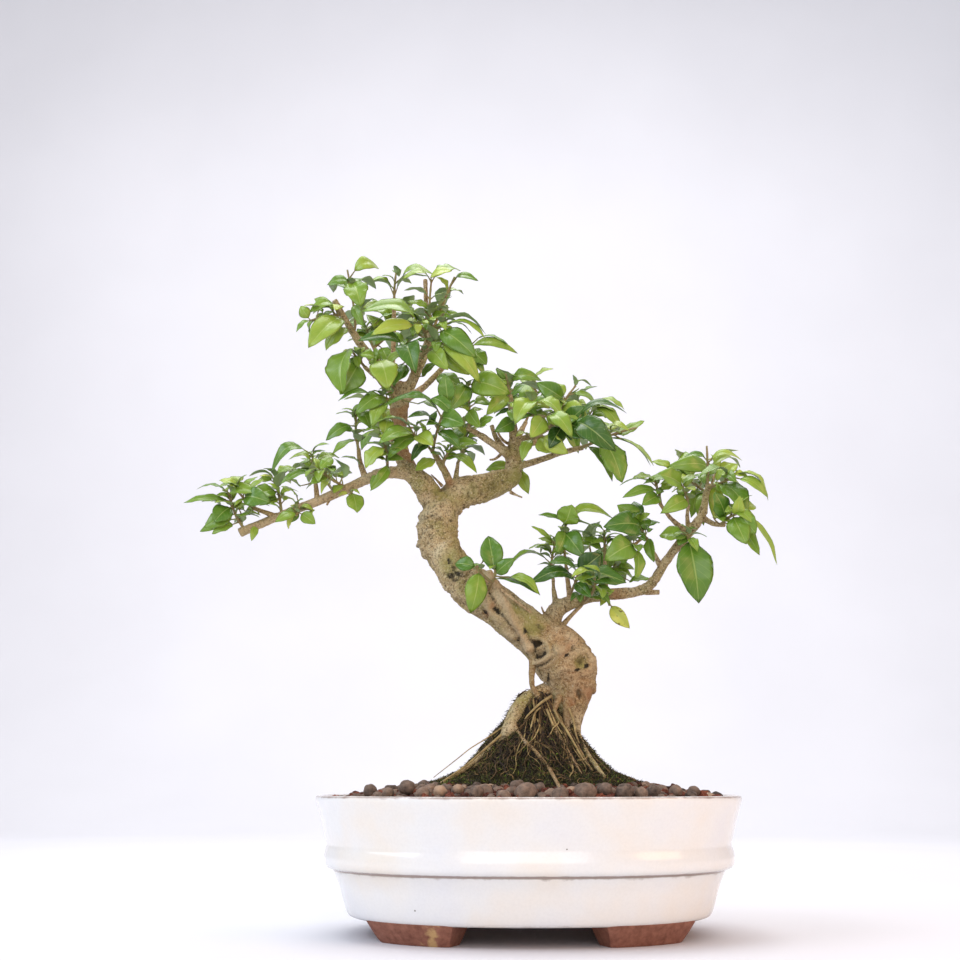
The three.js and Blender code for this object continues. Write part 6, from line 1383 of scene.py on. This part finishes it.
def addLeaf(heap, leaf, rng, age, spots):
    leaf = dict(leaf, arch=leaf["arch"] * rng.uniform(*leafShape["archGain"]))
    droop = leafShape["droop"] * rng.uniform(0, 1)  # how far the tip bends down
    length, ahead, face, side = leafFrame(leaf)
    roll = rng.normal(0, leafShape["roll"])
    face, side = (face * math.cos(roll) + side * math.sin(roll), side * math.cos(roll) - face * math.sin(roll))
    shape = (length, ahead, face, side)
    start = min(0.16, 2.4 / length)
    rows, columns = leafShape["rows"], leafShape["across"]
    if length <= 12:
        rows, columns = 7, [-1, -0.6, -0.15, 0, 0.15, 0.6, 1]
    fold = leafShape["fold"] * rng.uniform(0.4, 1.3)
    cup = leafShape["cup"] * rng.uniform(0.4, 1.6)
    phase = rng.uniform(0, 6.28, 2)
    waves = rng.uniform(2.2, 3.6)
    wave = leafShape["wave"] * rng.uniform(0.3, 1.5)
    skew = rng.uniform(-0.03, 0.03)
    points, uv = [leafPoint(leaf, shape, start) + face * 0.1], [(start, 0.5)]
    for layer in (1, -1):
        for r in range(1, rows):
            share = start + (1 - start) * (r / rows) ** 0.95
            half = leaf["width"] / 2 * bladeWidth(share, start)
            centre = leafPoint(leaf, shape, share) + side * (skew * length * math.sin(math.pi * share))
            centre = centre - face * (length * droop * max(0, share - 0.55) ** 2 / 0.2)
            for v in columns:
                ripple = wave * abs(v) ** 1.5 * math.sin(waves * 2 * math.pi * share + phase[0 if v > 0 else 1])
                height = half * (fold * abs(v) - cup * v * v) + leaf["width"] * ripple * 0.5
                rib = leafShape["rib"] * math.exp(-(v / 0.1) ** 2) * (1.15 - share)
                rim = (1 - v * v) ** 0.5
                height += 0.12 * rim - rib * 0.35 if layer > 0 else -leafShape["thickness"] * rim - rib
                points.append(centre + side * (v * half) + face * height)
                uv.append((share, 0.5 + v / 2))
    points.append(leafPoint(leaf, shape, 1) - face * (0.05 + length * droop))
    uv.append((1.0, 0.5))
    width = len(columns)
    layerSize = (rows - 1) * width
    last = len(points) - 1
    faces, faceSlots = [], []

    def at(layer, r, c):
        if c in (0, width - 1):
            layer = 0  # both faces share their edge
        return 1 + layer * layerSize + (r - 1) * width + c

    for layer in (0, 1):
        for c in range(width - 1):
            ends = [(0, at(layer, 1, c + 1), at(layer, 1, c)),
                    (last, at(layer, rows - 1, c), at(layer, rows - 1, c + 1))]
            inner = [(at(layer, r, c), at(layer, r, c + 1), at(layer, r + 1, c + 1), at(layer, r + 1, c))
                     for r in range(1, rows - 1)]
            for quad in ends + inner:
                faces.append(quad if layer == 1 else tuple(reversed(quad)))
                faceSlots.append(layer)
    used = sorted({i for quad in faces for i in quad})
    renumber = {old: new for new, old in enumerate(used)}
    shade = float(rng.uniform(0, 1))
    heap.add([points[i] for i in used], [tuple(renumber[i] for i in quad) for quad in faces], (age, spots, shade, 1),
             faceSlots, [uv[i] for i in used])
    stalkEnd = leafPoint(leaf, shape, start * 1.5) - face * 0.25
    stalkMid = (leaf["root"] + leafPoint(leaf, shape, start)) / 2
    thick = leafShape["petiole"] * min(1, 0.55 + length / 40)
    tube, tubeFaces, _ = tubeShape([(leaf["root"], thick * 1.25), (stalkMid, thick), (stalkEnd, thick * 0.7)], 5, 1.9)
    heap.add(tube, tubeFaces, (0.25 + 0.3 * shade, 0, shade, 1), 2)


def leafMaterials():
    # Living privet leaves: a thin waxy skin with a soft gloss, darker with age, paler and duller underneath. Patches
    # are 8 mm wide, dark blots 2.4 mm, and side veins eight to a leaf.
    stops = leafShape["topStops"]
    made = []
    for name, under in (("privetLeafTop", False), ("privetLeafUnderside", True)):
        material, tree, shader = newMaterial(name, {
            "Roughness": 0.5 if under else 0.26, "IOR": 1.45, "Specular IOR Level": 0.3 if under else 0.5})
        where = addNode(tree, "ShaderNodeTexCoord").outputs["Object"]
        place = addNode(tree, "ShaderNodeUVMap", {"uv_map": "surface"})
        split = addNode(tree, "ShaderNodeSeparateXYZ", None, {0: place})
        marks = addNode(tree, "ShaderNodeVertexColor", {"layer_name": "tint"})
        parts = addNode(tree, "ShaderNodeSeparateColor", None, {0: marks})
        patch = addNode(tree, "ShaderNodeTexNoise", {"Scale": 130.0, "Detail": 3.0}, {"Vector": where})
        patchShift = addNode(tree, "ShaderNodeMath", {"operation": "MULTIPLY_ADD", 1: 0.24, 2: -0.12}, {0: patch})
        shadeShift = addNode(tree, "ShaderNodeMath", {"operation": "MULTIPLY_ADD", 1: 0.26, 2: -0.14},
                             {0: parts.outputs[2]})
        ageOne = addNode(tree, "ShaderNodeMath", {"operation": "ADD"}, {0: parts.outputs[0], 1: patchShift})
        age = addNode(tree, "ShaderNodeMath", {"operation": "ADD", "use_clamp": True}, {0: ageOne, 1: shadeShift})
        green = addNode(tree, "ShaderNodeValToRGB", {"stops": stops}, {"Fac": age})
        off = addNode(tree, "ShaderNodeMath", {"operation": "SUBTRACT", 1: 0.5}, {0: split.outputs[1]})
        across = addNode(tree, "ShaderNodeMath", {"operation": "ABSOLUTE"}, {0: off})
        ribMask = addNode(tree, "ShaderNodeValToRGB", {"stops": [(0.008, 0.42), (0.03, 0.0)]}, {"Fac": across})
        forward = addNode(tree, "ShaderNodeMath", {"operation": "MULTIPLY_ADD", 1: -0.5},
                          {0: across, 2: split.outputs[0]})
        sideVeins = addNode(tree, "ShaderNodeMath", {"operation": "MULTIPLY", 1: 8.0}, {0: forward})
        step = addNode(tree, "ShaderNodeMath", {"operation": "FRACT"}, {0: sideVeins})
        veinMask = addNode(tree, "ShaderNodeValToRGB", {"stops": [(0.0, 0.16), (0.12, 0.0)]}, {"Fac": step})
        veins = addNode(tree, "ShaderNodeMath", {"operation": "MAXIMUM"}, {0: ribMask, 1: veinMask})
        edgeMask = addNode(tree, "ShaderNodeValToRGB", {"stops": [(0.476, 0.0), (0.494, 0.45)]}, {"Fac": across})
        veined = addNode(tree, "ShaderNodeMix", {"data_type": "RGBA", 7: leafShape["vein"]}, {0: veins, 6: green})
        edged = addNode(tree, "ShaderNodeMix", {"data_type": "RGBA", 7: leafShape["edge"]},
                        {0: edgeMask, 6: veined.outputs[2]})
        blots = addNode(tree, "ShaderNodeTexNoise", {"Scale": 420.0, "Detail": 2.0}, {"Vector": where})
        blotAmount = addNode(tree, "ShaderNodeMath", {"operation": "MULTIPLY"}, {0: blots, 1: parts.outputs[1]})
        blotMask = addNode(tree, "ShaderNodeValToRGB", {"stops": [(0.58, 0.0), (0.64, 0.85)]}, {"Fac": blotAmount})
        spotted = addNode(tree, "ShaderNodeMix", {"data_type": "RGBA", 7: leafShape["spot"]},
                          {0: blotMask, 6: edged.outputs[2]})
        final = spotted
        if under:
            final = addNode(tree, "ShaderNodeMix", {"data_type": "RGBA", 0: 0.55, 7: leafShape["underGrey"]},
                            {6: spotted.outputs[2]})
        relief = addNode(tree, "ShaderNodeBump", {"Strength": 0.35, "Distance": 0.00025, "invert": not under},
                         {"Height": veins})
        feed(tree, shader, {"Base Color": final.outputs[2], "Normal": relief})
        made.append(material)
    # Young privet shoots: smooth green skin turning brown, dull, with 2 mm specks
    material, tree, shader = newMaterial("youngPrivetStem", {"Roughness": 0.6, "IOR": 1.45})
    where = addNode(tree, "ShaderNodeTexCoord").outputs["Object"]
    marks = addNode(tree, "ShaderNodeVertexColor", {"layer_name": "tint"})
    parts = addNode(tree, "ShaderNodeSeparateColor", None, {0: marks})
    speck = addNode(tree, "ShaderNodeTexNoise", {"Scale": 500.0, "Detail": 3.0}, {"Vector": where})
    vary = addNode(tree, "ShaderNodeMath", {"operation": "MULTIPLY_ADD", 1: 0.5, 2: -0.25}, {0: speck})
    total = addNode(tree, "ShaderNodeMath", {"operation": "ADD", "use_clamp": True}, {0: parts.outputs[0], 1: vary})
    colour = addNode(tree, "ShaderNodeValToRGB",
                     {"stops": [(0.1, leafShape["stemGreen"]), (0.6, leafShape["stemBrown"]),
                                (1.0, leafShape["bud"])]},
                     {"Fac": total})
    feed(tree, shader, {"Base Color": colour})
    made.append(material)
    return made


def makeShoots():
    materials = leafMaterials()
    total = 0
    for index, (name, pairs, size, stems, leaves) in enumerate(placeLeaves()):
        rng = np.random.default_rng(500 + index)
        heap = Heap()
        age, spots = leafShape["age"].get(name, 0.5), leafShape["spotted"].get(name, 0.0)
        for leaf in leaves:
            addLeaf(heap, leaf, rng, float(np.clip(age + leaf["late"] + rng.normal(0, 0.055), 0.02, 1)), spots)
        for stem in stems:
            thick, slim = leafShape["stem"]
            path = [(p, thick + (slim - thick) * i / (len(stem) - 1)) for i, p in enumerate(stem)]
            tube, tubeFaces, _ = tubeShape(path, 8, 1.0,
                                           lambda t: 1 + 0.22 * max(0, math.cos(2 * math.pi * (t * 3 - 0.3))) ** 8)
            heap.add(tube, tubeFaces, (0.5, 0, 0, 1), 2)
        total += len(leaves)
        heap.piece("spray_" + name, materials, "leaf", "shoot_" + name)
    print("leaves grown:", total)


makeShoots()


drainScreen = {"black": "#1B1B1C", "worn": "#2C2C2D", "roughness": 0.55}


def meshPlastic():  # black polyethylene drain mesh, moulded: dull, with a faint cloudiness 3 mm wide
    material, tree, shader = newMaterial("blackPolyethyleneMesh", {"Roughness": drainScreen["roughness"], "IOR": 1.5})
    where = addNode(tree, "ShaderNodeTexCoord").outputs["Object"]
    cloud = addNode(tree, "ShaderNodeTexNoise", {"Scale": 300.0, "Detail": 3.0}, {"Vector": where})
    colour = addNode(tree, "ShaderNodeValToRGB", {"stops": [(0.3, drainScreen["black"]), (0.7, drainScreen["worn"])]},
                     {"Fac": cloud})
    feed(tree, shader, {"Base Color": colour})
    return material


screenPlastic = meshPlastic()
for node in ("drain_screen_left", "drain_screen_right"):
    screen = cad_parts[node]
    screen.data.materials.clear()
    screen.data.materials.append(screenPlastic)
print("drain screens finished")
